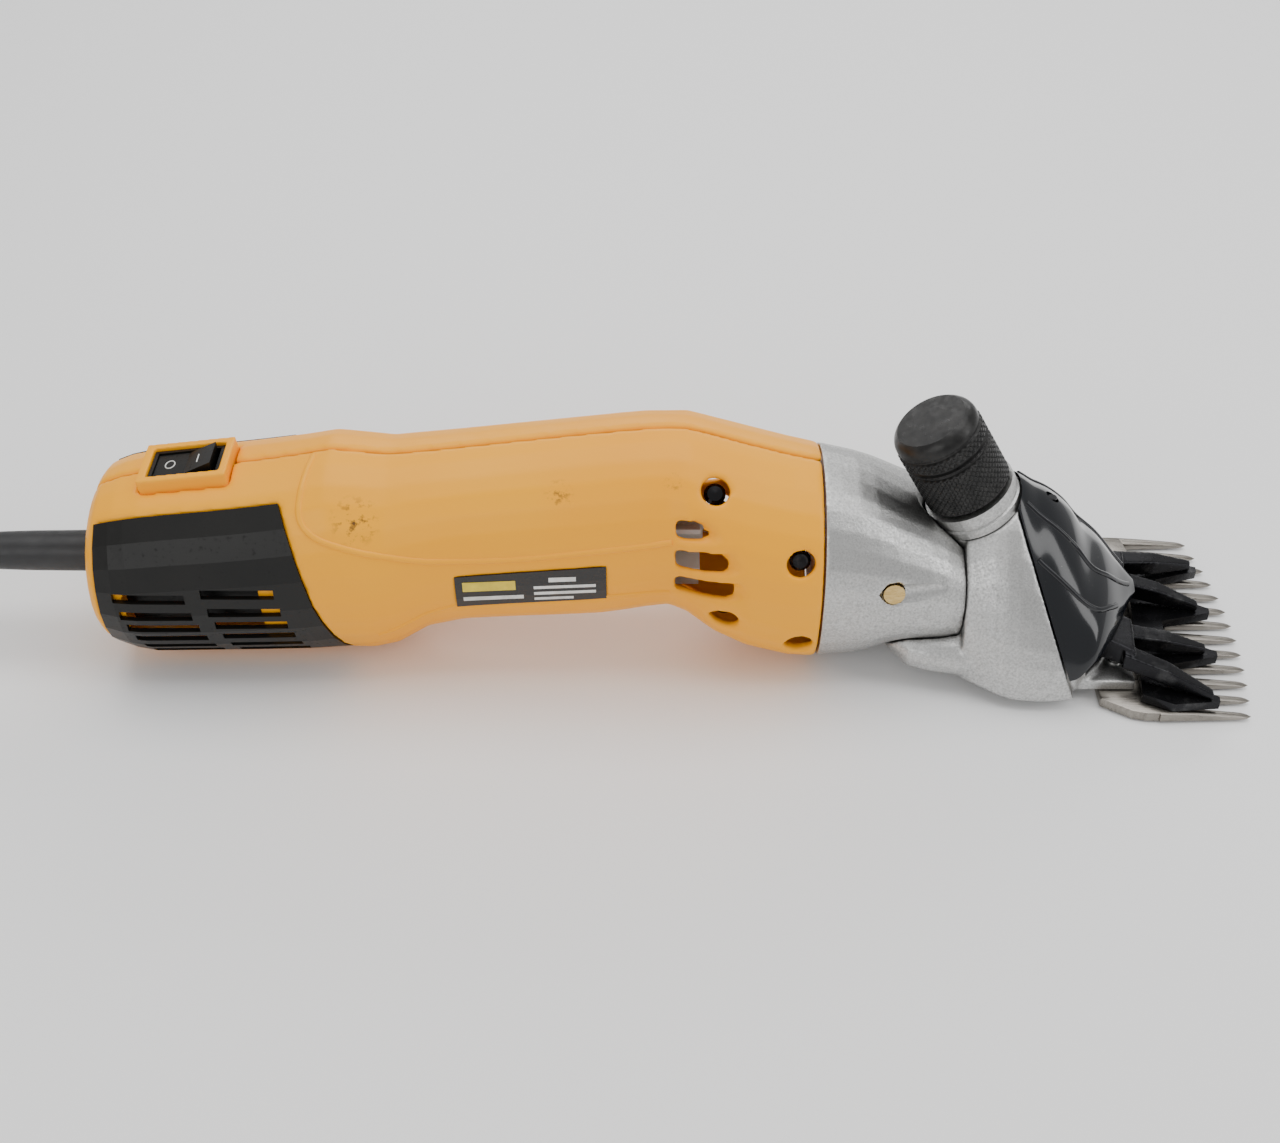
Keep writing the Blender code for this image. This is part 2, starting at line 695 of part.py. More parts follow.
def make_motor():
    axis = (0, MOTOR_Z)

    def place(x):
        return along_x(x, *axis)

    add_turned("stator", disc(STATOR_RADIUS, STATOR_LENGTH, STATOR_BORE), "dark_steel",
               place(STATOR_START), sides=36)
    for name, x in (("field_coil_rear", STATOR_START - 0.0083), ("field_coil_front", STATOR_END + FIT)):
        add_turned(name, disc(STATOR_RADIUS - 0.003, 0.008, STATOR_BORE + 0.0005), "copper",
                   place(x), sides=28)
    core_radius = STATOR_BORE - AIR_GAP
    add_turned("armature_core", disc(core_radius, STATOR_LENGTH, SHAFT_RADIUS + FIT),
               "dark_steel", place(STATOR_START), sides=28)
    add_turned("commutator", disc(COMMUTATOR_RADIUS, COMMUTATOR_LENGTH, SHAFT_RADIUS + FIT),
               "copper", place(COMMUTATOR_START), sides=28)
    add_turned("motor_shaft", disc(SHAFT_RADIUS, SHAFT_END - SHAFT_START), "bright_steel",
               place(SHAFT_START), sides=20)
    for name, x in (("rear_bearing", REAR_WALL_X), ("front_bearing", FRONT_WALL_X)):
        add_turned(name, disc(BEARING_RADIUS, BULKHEAD, SHAFT_RADIUS + FIT), "bright_steel",
                   place(x), sides=24)
    fan_blades(place(FAN_START))
    for side, word in ((-1, "right"), (1, "left")):
        x = COMMUTATOR_START + COMMUTATOR_LENGTH / 2
        contact = COMMUTATOR_RADIUS + FIT
        reach = inner_reach(x - 0.006, x + 0.006) - 0.0025
        half = BRUSH_SIDE / 2
        low = sorted((side * contact, side * (reach - 0.003)))
        add_object("brush_" + word, box_mesh((x - half, low[0], MOTOR_Z - half),
                                             (x + half, low[1], MOTOR_Z + half)), "carbon")
        outer = sorted((side * (contact + 0.002), side * reach))
        shell = half + 0.0014
        holder = add_object("brush_holder_" + word,
                            box_mesh((x - shell, outer[0], MOTOR_Z - shell),
                                     (x + shell, outer[1], MOTOR_Z + shell)), "brass")
        gap = half + FIT
        inner = sorted((side * (contact - 0.002), side * (reach - 0.0015)))
        slot = box_mesh((x - gap, inner[0], MOTOR_Z - gap), (x + gap, inner[1], MOTOR_Z + gap))
        cut(holder, add_object("brush_way", slot, "brass"))


def fan_blades(place):
    """A hub and back plate with curved blades, joined into one moulding."""
    profile = [(SHAFT_RADIUS + FIT, FAN_LENGTH), (0.0065, FAN_LENGTH), (0.0065, 0.0018),
               (FAN_REACH, 0.0018), (FAN_REACH, 0.0), (SHAFT_RADIUS + FIT, 0.0)]
    fan = add_turned("cooling_fan", profile, "white_nylon", place, sides=28)
    for blade in range(9):
        angle = 2 * math.pi * blade / 9
        mesh = box_mesh((0.0055, -0.0006, 0.001), (FAN_REACH - 0.001, 0.0006, FAN_LENGTH - 0.001))
        turn = Matrix.Rotation(angle, 4, "Z")
        cut(fan, add_object("blade", mesh, "white_nylon", matrix=place @ turn), "UNION")
    return fan


# ================================================================ gear housing and crank
CRANK_END_X = JOINT_X + 0.0300
CRANK_ROLLER_LENGTH = 0.0055
CRANK_PIN_RADIUS = 0.0018


def make_gear_housing():
    steps = 8
    places = [JOINT_X + FIT + (GEAR_LENGTH - FIT) * step / steps for step in range(steps + 1)]
    shell = add_object("gear_housing", loft_mesh([ring(gear_section, x, 0.0, 32) for x in places]),
                       "cast_aluminium")
    inner = [JOINT_X - 0.001] + places[1:-1] + [GEAR_END_X + 0.001]
    hollow = loft_mesh([ring(gear_section, x, GEAR_WALL, 28) for x in inner])
    cut(shell, add_object("gear_hollow", hollow, "cast_aluminium"))
    clear = add_turned("boss_clearance", disc(max(COLLAR_RADIUS, KNOB_RADIUS) + 0.0006, 0.070), "cast_aluminium",
                       knob_place(-0.022), sides=28)
    cut(shell, clear)
    x, angle = SET_SCREW_SPOT
    frame = side_frame(x, angle, -1, gear_section)
    hole = add_turned("set_screw_hole", disc(SET_SCREW_RADIUS + FIT, 0.02), "cast_aluminium",
                      frame @ Matrix.Translation((0, 0, -0.010)), sides=16)
    cut(shell, hole)
    add_turned("set_screw", disc(SET_SCREW_RADIUS, 0.0045), "brass",
               frame @ Matrix.Translation((0, 0, -0.0046)), sides=16)


SET_SCREW_SPOT = (JOINT_X + 0.0195, math.radians(80))
SET_SCREW_RADIUS = 0.0030


def make_gear_plate():
    places = (PLATE_START, PLATE_START + PLATE_THICKNESS)
    rings = [ring(gear_section, x, GEAR_WALL + FIT + 0.0006, 28) for x in places]
    plate = add_object("gear_plate", loft_mesh(rings), "cast_aluminium")
    for name, z, radius in (("shaft_way", MOTOR_Z, SHAFT_RADIUS + 0.0010),
                            ("bearing_seat", GEAR_AXIS_Z, PLATE_BEARING_RADIUS + FIT)):
        cut(plate, add_turned(name, disc(radius, 0.02), "cast_aluminium",
                              along_x(PLATE_START - 0.005, 0, z), sides=24))


def make_gears():
    running = GEAR_MODULE_GAP / 2
    toothed_disc("pinion", PINION_TEETH, PINION_PITCH_RADIUS - running, 0.0006, GEAR_WIDTH, 0.0,
                 "bright_steel", along_x(PINION_X, 0, MOTOR_Z))
    toothed_disc("drive_gear", GEAR_TEETH, GEAR_PITCH_RADIUS - running, 0.0010, GEAR_WIDTH,
                 CRANK_SHAFT_RADIUS + FIT, "bright_steel", along_x(GEAR_START_X, 0, GEAR_AXIS_Z))
    bearing = disc(PLATE_BEARING_RADIUS, PLATE_THICKNESS, CRANK_SHAFT_RADIUS + 0.00005)
    add_turned("crank_bearing", bearing, "bright_steel",
               along_x(PLATE_START, 0, GEAR_AXIS_Z), sides=24)
    web_x = GEAR_START_X + GEAR_WIDTH + 0.0015
    shaft = add_turned("crank_shaft", disc(CRANK_SHAFT_RADIUS, web_x - PLATE_START), "bright_steel",
                       along_x(PLATE_START, 0, GEAR_AXIS_Z), sides=24)
    web = disc(CRANK_SHAFT_RADIUS + CRANK_THROW, 0.0035)
    cut(shaft, add_turned("crank_web", web, "bright_steel",
                          along_x(web_x - 0.0005, 0, GEAR_AXIS_Z), sides=24), "UNION")
    pin_start = web_x + 0.0005
    pin = disc(CRANK_PIN_RADIUS, CRANK_END_X - pin_start)
    cut(shaft, add_turned("crank_pin", pin, "bright_steel",
                          along_x(pin_start, CRANK_THROW, GEAR_AXIS_Z), sides=16), "UNION")
    roller = disc(CRANK_ROLLER_RADIUS, CRANK_ROLLER_LENGTH, CRANK_PIN_RADIUS + 0.0001)
    add_turned("crank_roller", roller, "bright_steel",
               along_x(CRANK_END_X - CRANK_ROLLER_LENGTH, CRANK_THROW, GEAR_AXIS_Z), sides=20)


# ================================================================ head
# x behind the head's rear face, underside, foot of the arch, top, half width and roundness of
# the arch that the casting and its hood share
HEAD_SHAPE = (
    (0.0000, 0.0045, 0.0105, 0.0480, 0.0270, 1.90),
    (0.0097, 0.0030, 0.0105, 0.0550, 0.0325, 1.60),
    (0.0135, 0.0022, 0.0105, 0.0563, 0.0340, 1.50),
    (0.0205, 0.0022, 0.0105, 0.0522, 0.0350, 1.50),
    (0.0250, 0.0022, 0.0108, 0.0496, 0.0350, 1.50),
    (0.0307, 0.0024, 0.0115, 0.0446, 0.0345, 1.50),
    (0.0363, 0.0028, 0.0158, 0.0368, 0.0318, 1.50),
    (0.0421, 0.0035, 0.0176, 0.0316, 0.0240, 1.50),
    (0.0475, 0.0035, 0.0176, 0.0252, 0.0140, 1.50),
    (0.0517, 0.0035, 0.0176, 0.0206, 0.0060, 1.60),
    (0.0530, 0.0035, 0.0176, 0.0192, 0.0040, 1.60),
)
# the lip of the casting that carries the gear housing from below: x behind the head's rear
# face, top, underside, half width and roundness
LIP_SHAPE = (
    (-0.0200, 0.0200, 0.0062, 0.0200, 2.2, 2.2),
    (-0.0130, 0.0200, 0.0016, 0.0262, 2.3, 2.4),
    (0.0020, 0.0200, 0.0012, 0.0290, 2.4, 2.6),
)
HOOD_EDGE = (0.0512, 0.0, 0.0580)   # top of the slanted edge where the hood starts
HOOD_EDGE_TILT = math.radians(-21)
HEAD_START_X = GEAR_END_X + FIT
HEAD_END_X = HEAD_START_X + HEAD_LENGTH
HOOD_START_X = HEAD_START_X + 0.0105
HOOD_END_X = HEAD_START_X + HEAD_SHAPE[-1][0]
BED_HALF_WIDTH = HEAD_HALF_WIDTH - 0.003
BED_FRONT_X = (
    FULCRUM_X + (CUTTER_REAR_X - FULCRUM_X) * math.cos(REST_SWING)
    - BED_HALF_WIDTH * math.sin(abs(REST_SWING)) - 0.0008
)
BED_LOW = COMB_THICKNESS + FIT
BED_HIGH = BED_LOW + 0.0032


class LipSection(Section):
    def __init__(self, values):
        self.top, self.bottom, self.half_width, self.upper, self.lower = values


def lip_section(x):
    return LipSection(smooth_table(LIP_SHAPE, x - HEAD_START_X))


def arch_line(x, inset, count=18):
    """Points along the head's arch at one x, from the near foot over the top to the far one."""
    bottom, foot, top, half_width, roundness = smooth_table(HEAD_SHAPE, x - HEAD_START_X)
    points = []
    for step in range(count + 1):
        angle = -math.pi / 2 + math.pi * step / count
        across = math.copysign(abs(math.sin(angle)) ** (2 / roundness), math.sin(angle))
        upright = abs(math.cos(angle)) ** (2 / roundness)
        height = (top - inset - foot) * upright
        points.append((x, (half_width - inset) * across, foot + height))
    return points


def head_ring(x, inset, floor=0.0):
    """The whole outline of the casting at one x: the arch and the box below it."""
    bottom, _, _, half_width, _ = smooth_table(HEAD_SHAPE, x - HEAD_START_X)
    low = bottom + floor
    half = half_width - inset
    return arch_line(x, inset) + [(x, half, low + 0.0015), (x, half - 0.0015, low),
                                  (x, 0.0015 - half, low), (x, -half, low + 0.0015)]


def hood_edge_box(name, low_x, high_x):
    """A block on one side of the slanted plane between the casting and the hood."""
    mesh = box_mesh((low_x, -0.06, -0.10), (high_x, 0.06, 0.05))
    place = Matrix.Translation((JOINT_X + HOOD_EDGE[0], HOOD_EDGE[1], HOOD_EDGE[2]))
    place = place @ Matrix.Rotation(HOOD_EDGE_TILT, 4, "Y")
    return add_object(name, mesh, "gloss_black", matrix=place)


def knob_place(offset=0.0):
    turn = Matrix.Rotation(KNOB_TILT, 4, "Y")
    return Matrix.Translation(KNOB_BASE) @ turn @ Matrix.Translation((0, 0, offset))


def make_head():
    places = [HEAD_START_X + HEAD_LENGTH * step / 12 for step in range(13)]
    head = add_object("head_casting", loft_mesh([head_ring(x, 0.0) for x in places]),
                      "cast_aluminium")
    cut(head, hood_edge_box("hood_seat", 0.0, 0.1))
    inset = HOOD_THICKNESS + 3 * FIT
    core = [HEAD_START_X + 0.0007] + places[1:]
    core = loft_mesh([head_ring(x, inset, 0.0002) for x in core])
    cut(head, add_object("head_core", core, "cast_aluminium"), "UNION")
    lip_places = [HEAD_START_X + LIP_SHAPE[0][0] + 0.0055 * step for step in range(5)]
    lip = add_object("head_lip", loft_mesh([ring(lip_section, x, 0.0, 24) for x in lip_places]),
                     "cast_aluminium")
    seat = [HEAD_START_X - 0.0001 - 0.0075 * step for step in range(4)][::-1]
    cut(lip, add_object("lip_seat", loft_mesh([ring(gear_section, x, -FIT, 32) for x in seat]),
                        "cast_aluminium"))
    cut(head, lip, "UNION")
    inner = [HEAD_START_X - 0.001] + places[1:-1] + [HEAD_END_X + 0.001]
    rings = [head_ring(x, inset + HEAD_WALL, HEAD_WALL) for x in inner]
    cut(head, add_object("head_hollow", loft_mesh(rings), "cast_aluminium"))
    boss = add_turned("boss", disc(COLLAR_RADIUS, 0.015), "cast_aluminium", knob_place(-0.012),
                      sides=28)
    cut(head, boss, "UNION")
    cut(head, add_turned("collar_way", disc(max(COLLAR_RADIUS, KNOB_RADIUS) + 0.0006, 0.060),
                         "cast_aluminium", knob_place(), sides=30))
    bed = box_mesh((HEAD_END_X - 0.010, -BED_HALF_WIDTH, BED_LOW),
                   (BED_FRONT_X, BED_HALF_WIDTH, BED_HIGH))
    cut(head, add_object("comb_bed", bed, "cast_aluminium"), "UNION")
    heel = box_mesh((COMB_HEEL_X - FIT, -0.05, -0.01), (0.2, 0.05, BED_LOW - 0.0001))
    cut(head, add_object("comb_seat", heel, "cast_aluminium"))
    way = box_mesh((FORK_BLOCK_X - 0.0130, -FORK_WAY_HALF, BED_HIGH + 0.0013),
                   (0.2, FORK_WAY_HALF, FORK_BLOCK_Z[1] + 0.0024))
    cut(head, add_object("fork_way", way, "cast_aluminium"))
    for side in (-1, 1):
        hole = add_turned("comb_screw_hole", disc(COMB_SCREW_RADIUS + FIT, 0.010), "cast_aluminium",
                          Matrix.Translation((COMB_SCREW_X, side * COMB_SCREW_Y, 0.001)), sides=16)
        cut(head, hole)
    pin_way = add_turned("pin_way", disc(TENSION_PIN_RADIUS + FIT, 0.05), "cast_aluminium",
                         knob_place(-0.030), sides=20)
    cut(head, pin_way)
    return head


COMB_SCREW_X = COMB_HEEL_X + 0.0060
COMB_SCREW_Y = 0.0200
COMB_SCREW_RADIUS = 0.0020
COMB_SCREW_HEAD = 0.0036


def make_collar():
    neck = 0.0085
    profile = [
        (neck, COLLAR_LENGTH + 0.012), (neck, COLLAR_LENGTH), (COLLAR_RADIUS, COLLAR_LENGTH),
        (COLLAR_RADIUS, 0.0042), (COLLAR_RADIUS - 0.0006, 0.0038), (COLLAR_RADIUS - 0.0006, 0.0030),
        (COLLAR_RADIUS, 0.0026), (COLLAR_RADIUS, FIT), (TENSION_PIN_RADIUS + FIT, FIT),
        (TENSION_PIN_RADIUS + FIT, COLLAR_LENGTH + 0.012),
    ]
    add_turned("tension_collar", profile, "cast_aluminium", knob_place(), sides=36)
    start = COLLAR_LENGTH + TENSION_GAP
    bore = neck + FIT
    radius = KNOB_RADIUS
    profile = [
        (0.0, start + KNOB_LENGTH), (radius - 0.0040, start + KNOB_LENGTH),
        (radius - 0.0015, start + KNOB_LENGTH - 0.0008), (radius, start + KNOB_LENGTH - 0.0030),
        (radius, start + KNOB_LENGTH - 0.0085), (radius - 0.0015, start + KNOB_LENGTH - 0.0095),
        (radius - 0.0015, start + KNOB_LENGTH - 0.0115), (radius, start + KNOB_LENGTH - 0.0125),
        (radius, start + 0.0010), (radius - 0.0010, start), (bore, start),
        (bore, start + KNOB_BORE_DEPTH), (0.0, start + KNOB_BORE_DEPTH),
    ]
    add_turned("tension_knob", profile, "knob_black", knob_place(), sides=40)
    pin = [(0.0, start + KNOB_BORE_DEPTH - FIT), (TENSION_PIN_RADIUS, start + KNOB_BORE_DEPTH - FIT),
           (TENSION_PIN_RADIUS, -0.016), (TENSION_PIN_RADIUS - 0.0015, -0.018), (0.0, -0.019)]
    add_turned("tension_pin", pin, "bright_steel", knob_place(), sides=20)


TENSION_GAP = 0.0004


def make_hood():
    places = [HOOD_START_X + (HOOD_END_X - HOOD_START_X) * step / 14 for step in range(15)]
    sections = [arch_line(x, 0.0) + arch_line(x, HOOD_THICKNESS)[::-1] for x in places]
    hood = add_object("hood", loft_mesh(sections), "gloss_black")
    cut(hood, hood_edge_box("hood_trim", -0.1, FIT))
    clear = add_turned("collar_clearance", disc(max(COLLAR_RADIUS, KNOB_RADIUS) + 0.0006, 0.060), "gloss_black",
                       knob_place(-0.030), sides=28)
    cut(hood, clear)
    x = HEAD_START_X + HOOD_SCREW_OFFSET
    top = smooth_table(HEAD_SHAPE, HOOD_SCREW_OFFSET)[2]
    hole = add_turned("hood_screw_hole", disc(0.0016, 0.02), "gloss_black",
                      Matrix.Translation((x, 0, top - 0.010)), sides=14)
    cut(hood, hole)
    add_turned("hood_screw", disc(0.0016 - FIT, 0.0018), "dark_steel",
               Matrix.Translation((x, 0, top - 0.0021)), sides=14)


HOOD_SCREW_OFFSET = 0.0250
FORK_WAY_HALF = 0.0290


# ================================================================ fork, cutter and comb
LEVER_REAR_X = CRANK_END_X - CRANK_ROLLER_LENGTH - 0.0005
YOKE_GAP = 2 * CRANK_THROW + CRANK_ROLLER_RADIUS + 0.0004
YOKE_PRONG = 0.0026
FORK_BLOCK_X = JOINT_X + 0.0810
FORK_BLOCK_Z = (0.0095, 0.0150)
CUTTER_LOW = COMB_THICKNESS + FIT
CUTTER_HIGH = CUTTER_LOW + CUTTER_THICKNESS
CUTTER_PITCH = 3 * 2 * COMB_HALF_WIDTH / (COMB_TEETH - 1)
FORK_OFFSET = CUTTER_PITCH


def swing_pivot():
    pivot = bpy.data.objects.new("fork_pivot", None)
    PARTS.objects.link(pivot)
    pivot.location = (FULCRUM_X, 0.0, LEVER_Z)
    pivot.rotation_euler = (0.0, 0.0, REST_SWING)
    bpy.context.view_layer.update()
    return pivot


def add_swinging(name, mesh, finish, pivot):
    """Adds a piece drawn in line with the body, then turned with the fork about its fulcrum."""
    mesh.transform(Matrix.Translation((-FULCRUM_X, 0.0, -LEVER_Z)))
    item = add_object(name, mesh, finish)
    item.parent = pivot
    return item


def bar_mesh(sections):
    """A bar through rectangles, each given as x, middle y, half width, low z and high z."""
    rings = []
    for x, y, half, low, high in sections:
        rings.append([(x, y - half, low), (x, y + half, low), (x, y + half, high),
                      (x, y - half, high)])
    return loft_mesh(rings)


def make_lever(pivot):
    back = CRANK_END_X + 0.0030
    lever = add_swinging("fork_lever", bar_mesh((
        (back, 0.0, YOKE_GAP + YOKE_PRONG, LEVER_Z, LEVER_Z + LEVER_THICKNESS + 0.004),
        (back + 0.006, 0.0, 0.0080, LEVER_Z, LEVER_Z + LEVER_THICKNESS),
        (FULCRUM_X + 0.006, 0.0, 0.0085, LEVER_Z, LEVER_Z + LEVER_THICKNESS),
        (FULCRUM_X + 0.016, 0.0, 0.0095, LEVER_Z - 0.003, LEVER_Z + LEVER_THICKNESS - 0.003),
        (FORK_BLOCK_X - 0.006, 0.0, 0.0120, FORK_BLOCK_Z[0], FORK_BLOCK_Z[1]),
        (FORK_BLOCK_X, 0.0, 0.0150, FORK_BLOCK_Z[0], FORK_BLOCK_Z[1]),
    )), "bright_steel", pivot)
    for side, word in ((-1, "right"), (1, "left")):
        y = side * (YOKE_GAP + YOKE_PRONG / 2)
        prong = bar_mesh((
            (LEVER_REAR_X, y, YOKE_PRONG / 2, GEAR_AXIS_Z - 0.004, GEAR_AXIS_Z + 0.004),
            (back + 0.002, y, YOKE_PRONG / 2, LEVER_Z + 0.001, LEVER_Z + LEVER_THICKNESS + 0.003),
        ))
        cut(lever, add_swinging("yoke_" + word, prong, "bright_steel", pivot), "UNION")
    cap = add_turned("fulcrum_socket", disc(FULCRUM_RADIUS * 0.62 + FIT, 0.004), "bright_steel",
                     Matrix.Translation((FULCRUM_X, 0, LEVER_Z - 0.0015)), sides=20)
    cut(lever, cap)
    return lever


def make_forks(pivot):
    """Two forks, each with two tines that spread to a pair of cutter teeth."""
    low = CUTTER_HIGH + FIT
    for side, word in ((-1, "right"), (1, "left")):
        middle = side * FORK_OFFSET
        block = bar_mesh((
            (FORK_BLOCK_X + FIT, middle * 0.58, 0.0068, FORK_BLOCK_Z[0], FORK_BLOCK_Z[1] + 0.002),
            (FORK_BLOCK_X + 0.011, middle * 0.82, 0.0072, FORK_BLOCK_Z[0], FORK_BLOCK_Z[1] + 0.001),
        ))
        fork = add_swinging("fork_" + word, block, "gloss_black", pivot)
        for share in (-0.5, 0.5):
            root = middle * 0.86 + share * 0.0085
            tip = middle + share * CUTTER_PITCH
            tine = bar_mesh((
                (FORK_BLOCK_X + 0.008, root, 0.0030, FORK_BLOCK_Z[0] + 0.0005, FORK_BLOCK_Z[1]),
                (CUTTER_TIP_X - 0.016, (root + tip) / 2, 0.0025, low + 0.0012, low + 0.0062),
                (CUTTER_TIP_X - 0.004, tip, 0.0012, low, low + 0.0022),
            ))
            cut(fork, add_swinging("tine", tine, "gloss_black", pivot), "UNION")


def cutter_outline():
    """The cutter from above: a plain rear edge and long tapering teeth in front."""
    half = (CUTTER_TEETH - 0.60) * CUTTER_PITCH / 2
    root_x = CUTTER_REAR_X + 0.0085
    points = [(CUTTER_REAR_X, -half + 0.003)]
    for tooth in range(CUTTER_TEETH):
        y = (tooth - (CUTTER_TEETH - 1) / 2) * CUTTER_PITCH
        tip_x = CUTTER_TIP_X - 0.0016 * (abs(y) / COMB_HALF_WIDTH) ** 2 * 2
        points.append((root_x, max(y - CUTTER_TOOTH_ROOT / 2, -half)))
        points.append((tip_x, y - CUTTER_TOOTH_TIP / 2))
        points.append((tip_x, y + CUTTER_TOOTH_TIP / 2))
        points.append((root_x, min(y + CUTTER_TOOTH_ROOT / 2, half)))
    points.append((CUTTER_REAR_X, half - 0.003))
    return points


def comb_outline():
    """The comb from above: a stepped heel and straight teeth that end on an arc."""
    half = COMB_HALF_WIDTH + COMB_TOOTH_WIDTH / 2
    points = [(COMB_HEEL_X, -half + 0.006), (COMB_HEEL_X + 0.008, -half + 0.001),
              (COMB_HEEL_X + 0.012, -half)]
    pitch = 2 * COMB_HALF_WIDTH / (COMB_TEETH - 1)
    for tooth in range(COMB_TEETH):
        y = -COMB_HALF_WIDTH + tooth * pitch
        tip_x = COMB_TIP_X - COMB_SAGITTA * (y / COMB_HALF_WIDTH) ** 2
        wide = COMB_TOOTH_WIDTH / 2
        points.append((COMB_ROOT_X, y - wide))
        points.append((tip_x - 0.006, y - wide * 0.85))
        points.append((tip_x, y - wide * 0.30))
        points.append((tip_x, y + wide * 0.30))
        points.append((tip_x - 0.006, y + wide * 0.85))
        points.append((COMB_ROOT_X, y + wide))
    points += [(COMB_HEEL_X + 0.012, half), (COMB_HEEL_X + 0.008, half - 0.001),
               (COMB_HEEL_X, half - 0.006)]
    return points


def make_comb():
    comb = add_object("comb", plate_mesh(comb_outline(), 0.0, COMB_THICKNESS), "ground_steel")
    for side, word in ((-1, "right"), (1, "left")):
        centre = Matrix.Translation((COMB_SCREW_X, side * COMB_SCREW_Y, 0.0))
        profile = [(0.0, 0.01), (COMB_SCREW_RADIUS + FIT, 0.01), (COMB_SCREW_RADIUS + FIT, 0.0020),
                   (COMB_SCREW_HEAD + FIT, 0.0020), (COMB_SCREW_HEAD + FIT, -0.001), (0.0, -0.001)]
        cut(comb, add_turned("comb_screw_seat", profile, "ground_steel", centre, sides=20))
        screw = [(0.0, BED_HIGH + 0.0008), (COMB_SCREW_RADIUS, BED_HIGH + 0.0008),
                 (COMB_SCREW_RADIUS, 0.0017), (COMB_SCREW_HEAD, 0.0017), (COMB_SCREW_HEAD, 0.0003),
                 (0.0, 0.0003)]
        add_turned("comb_screw_" + word, screw, "bright_steel", centre, sides=20)


def make_cutting_head():
    pivot = swing_pivot()
    make_lever(pivot)
    make_forks(pivot)
    outline = cutter_outline()
    cutter = plate_mesh(outline, CUTTER_LOW, CUTTER_HIGH)
    add_swinging("cutter", cutter, "dark_steel", pivot)
    make_comb()
    floor = smooth_table(HEAD_SHAPE, FULCRUM_X - HEAD_START_X)[0] + HEAD_WALL + 0.0008
    post = [(0.0, LEVER_Z + 0.0018), (FULCRUM_RADIUS * 0.5, LEVER_Z + 0.0014),
            (FULCRUM_RADIUS * 0.62, LEVER_Z - 0.0003), (FULCRUM_RADIUS, LEVER_Z - 0.0006),
            (FULCRUM_RADIUS, floor), (0.0, floor)]
    add_turned("fulcrum_post", post, "bright_steel", Matrix.Translation((FULCRUM_X, 0, 0)), sides=20)


# ================================================================ cord
# the cord's way, from the sleeve to where the coil begins; chosen by hand
CORD_WAY = (
    (-0.2125, 0.0000, 0.0300), (-0.2250, 0.0000, 0.0294), (-0.2380, 0.0005, 0.0268),
    (-0.2500, 0.0020, 0.0218), (-0.2610, 0.0045, 0.0158), (-0.2720, 0.0080, 0.0105),
    (-0.2830, 0.0120, 0.0064), (-0.2950, 0.0160, 0.0045), (-0.3080, 0.0190, 0.0040),
)
PLUG_Z = COIL_HEIGHT + 0.0008


def coil_centre():
    """Where the coil lies, so that the cord runs into its turns along a tangent."""
    end, before = CORD_WAY[-1], CORD_WAY[-2]
    heading = Vector((end[0] - before[0], end[1] - before[1])).normalized()
    across = Vector((-heading.y, heading.x))
    outer = COIL_RADIUS + COIL_HALF_WIDTH + FIT
    reach = math.sqrt(outer**2 - (COIL_RADIUS - CORD_RADIUS) ** 2) + FIT
    middle = Vector(end[:2]) + heading * reach + across * COIL_RADIUS
    return (middle.x, middle.y)


COIL_CENTRE = coil_centre()


def smooth_way(points, spacing):
    """Points at an even spacing along a smooth curve through the given ones."""
    points = [np.array(point) for point in points]
    padded = [2 * points[0] - points[1]] + points + [2 * points[-1] - points[-2]]
    dense = []
    for index in range(1, len(padded) - 2):
        before, here, after, beyond = padded[index - 1:index + 3]
        for t in np.linspace(0, 1, 12, endpoint=False):
            value = 2 * here + (after - before) * t
            value = value + (2 * before - 5 * here + 4 * after - beyond) * t**2
            value = value + (3 * here - before - 3 * after + beyond) * t**3
            dense.append(value / 2)
    dense.append(points[-1])
    dense = np.array(dense)
    reach = np.concatenate([[0], np.cumsum(np.linalg.norm(np.diff(dense, axis=0), axis=1))])
    count = max(2, int(round(reach[-1] / spacing)))
    marks = np.linspace(0, reach[-1], count + 1)
    return [[float(np.interp(mark, reach, dense[:, axis])) for axis in range(3)] for mark in marks]


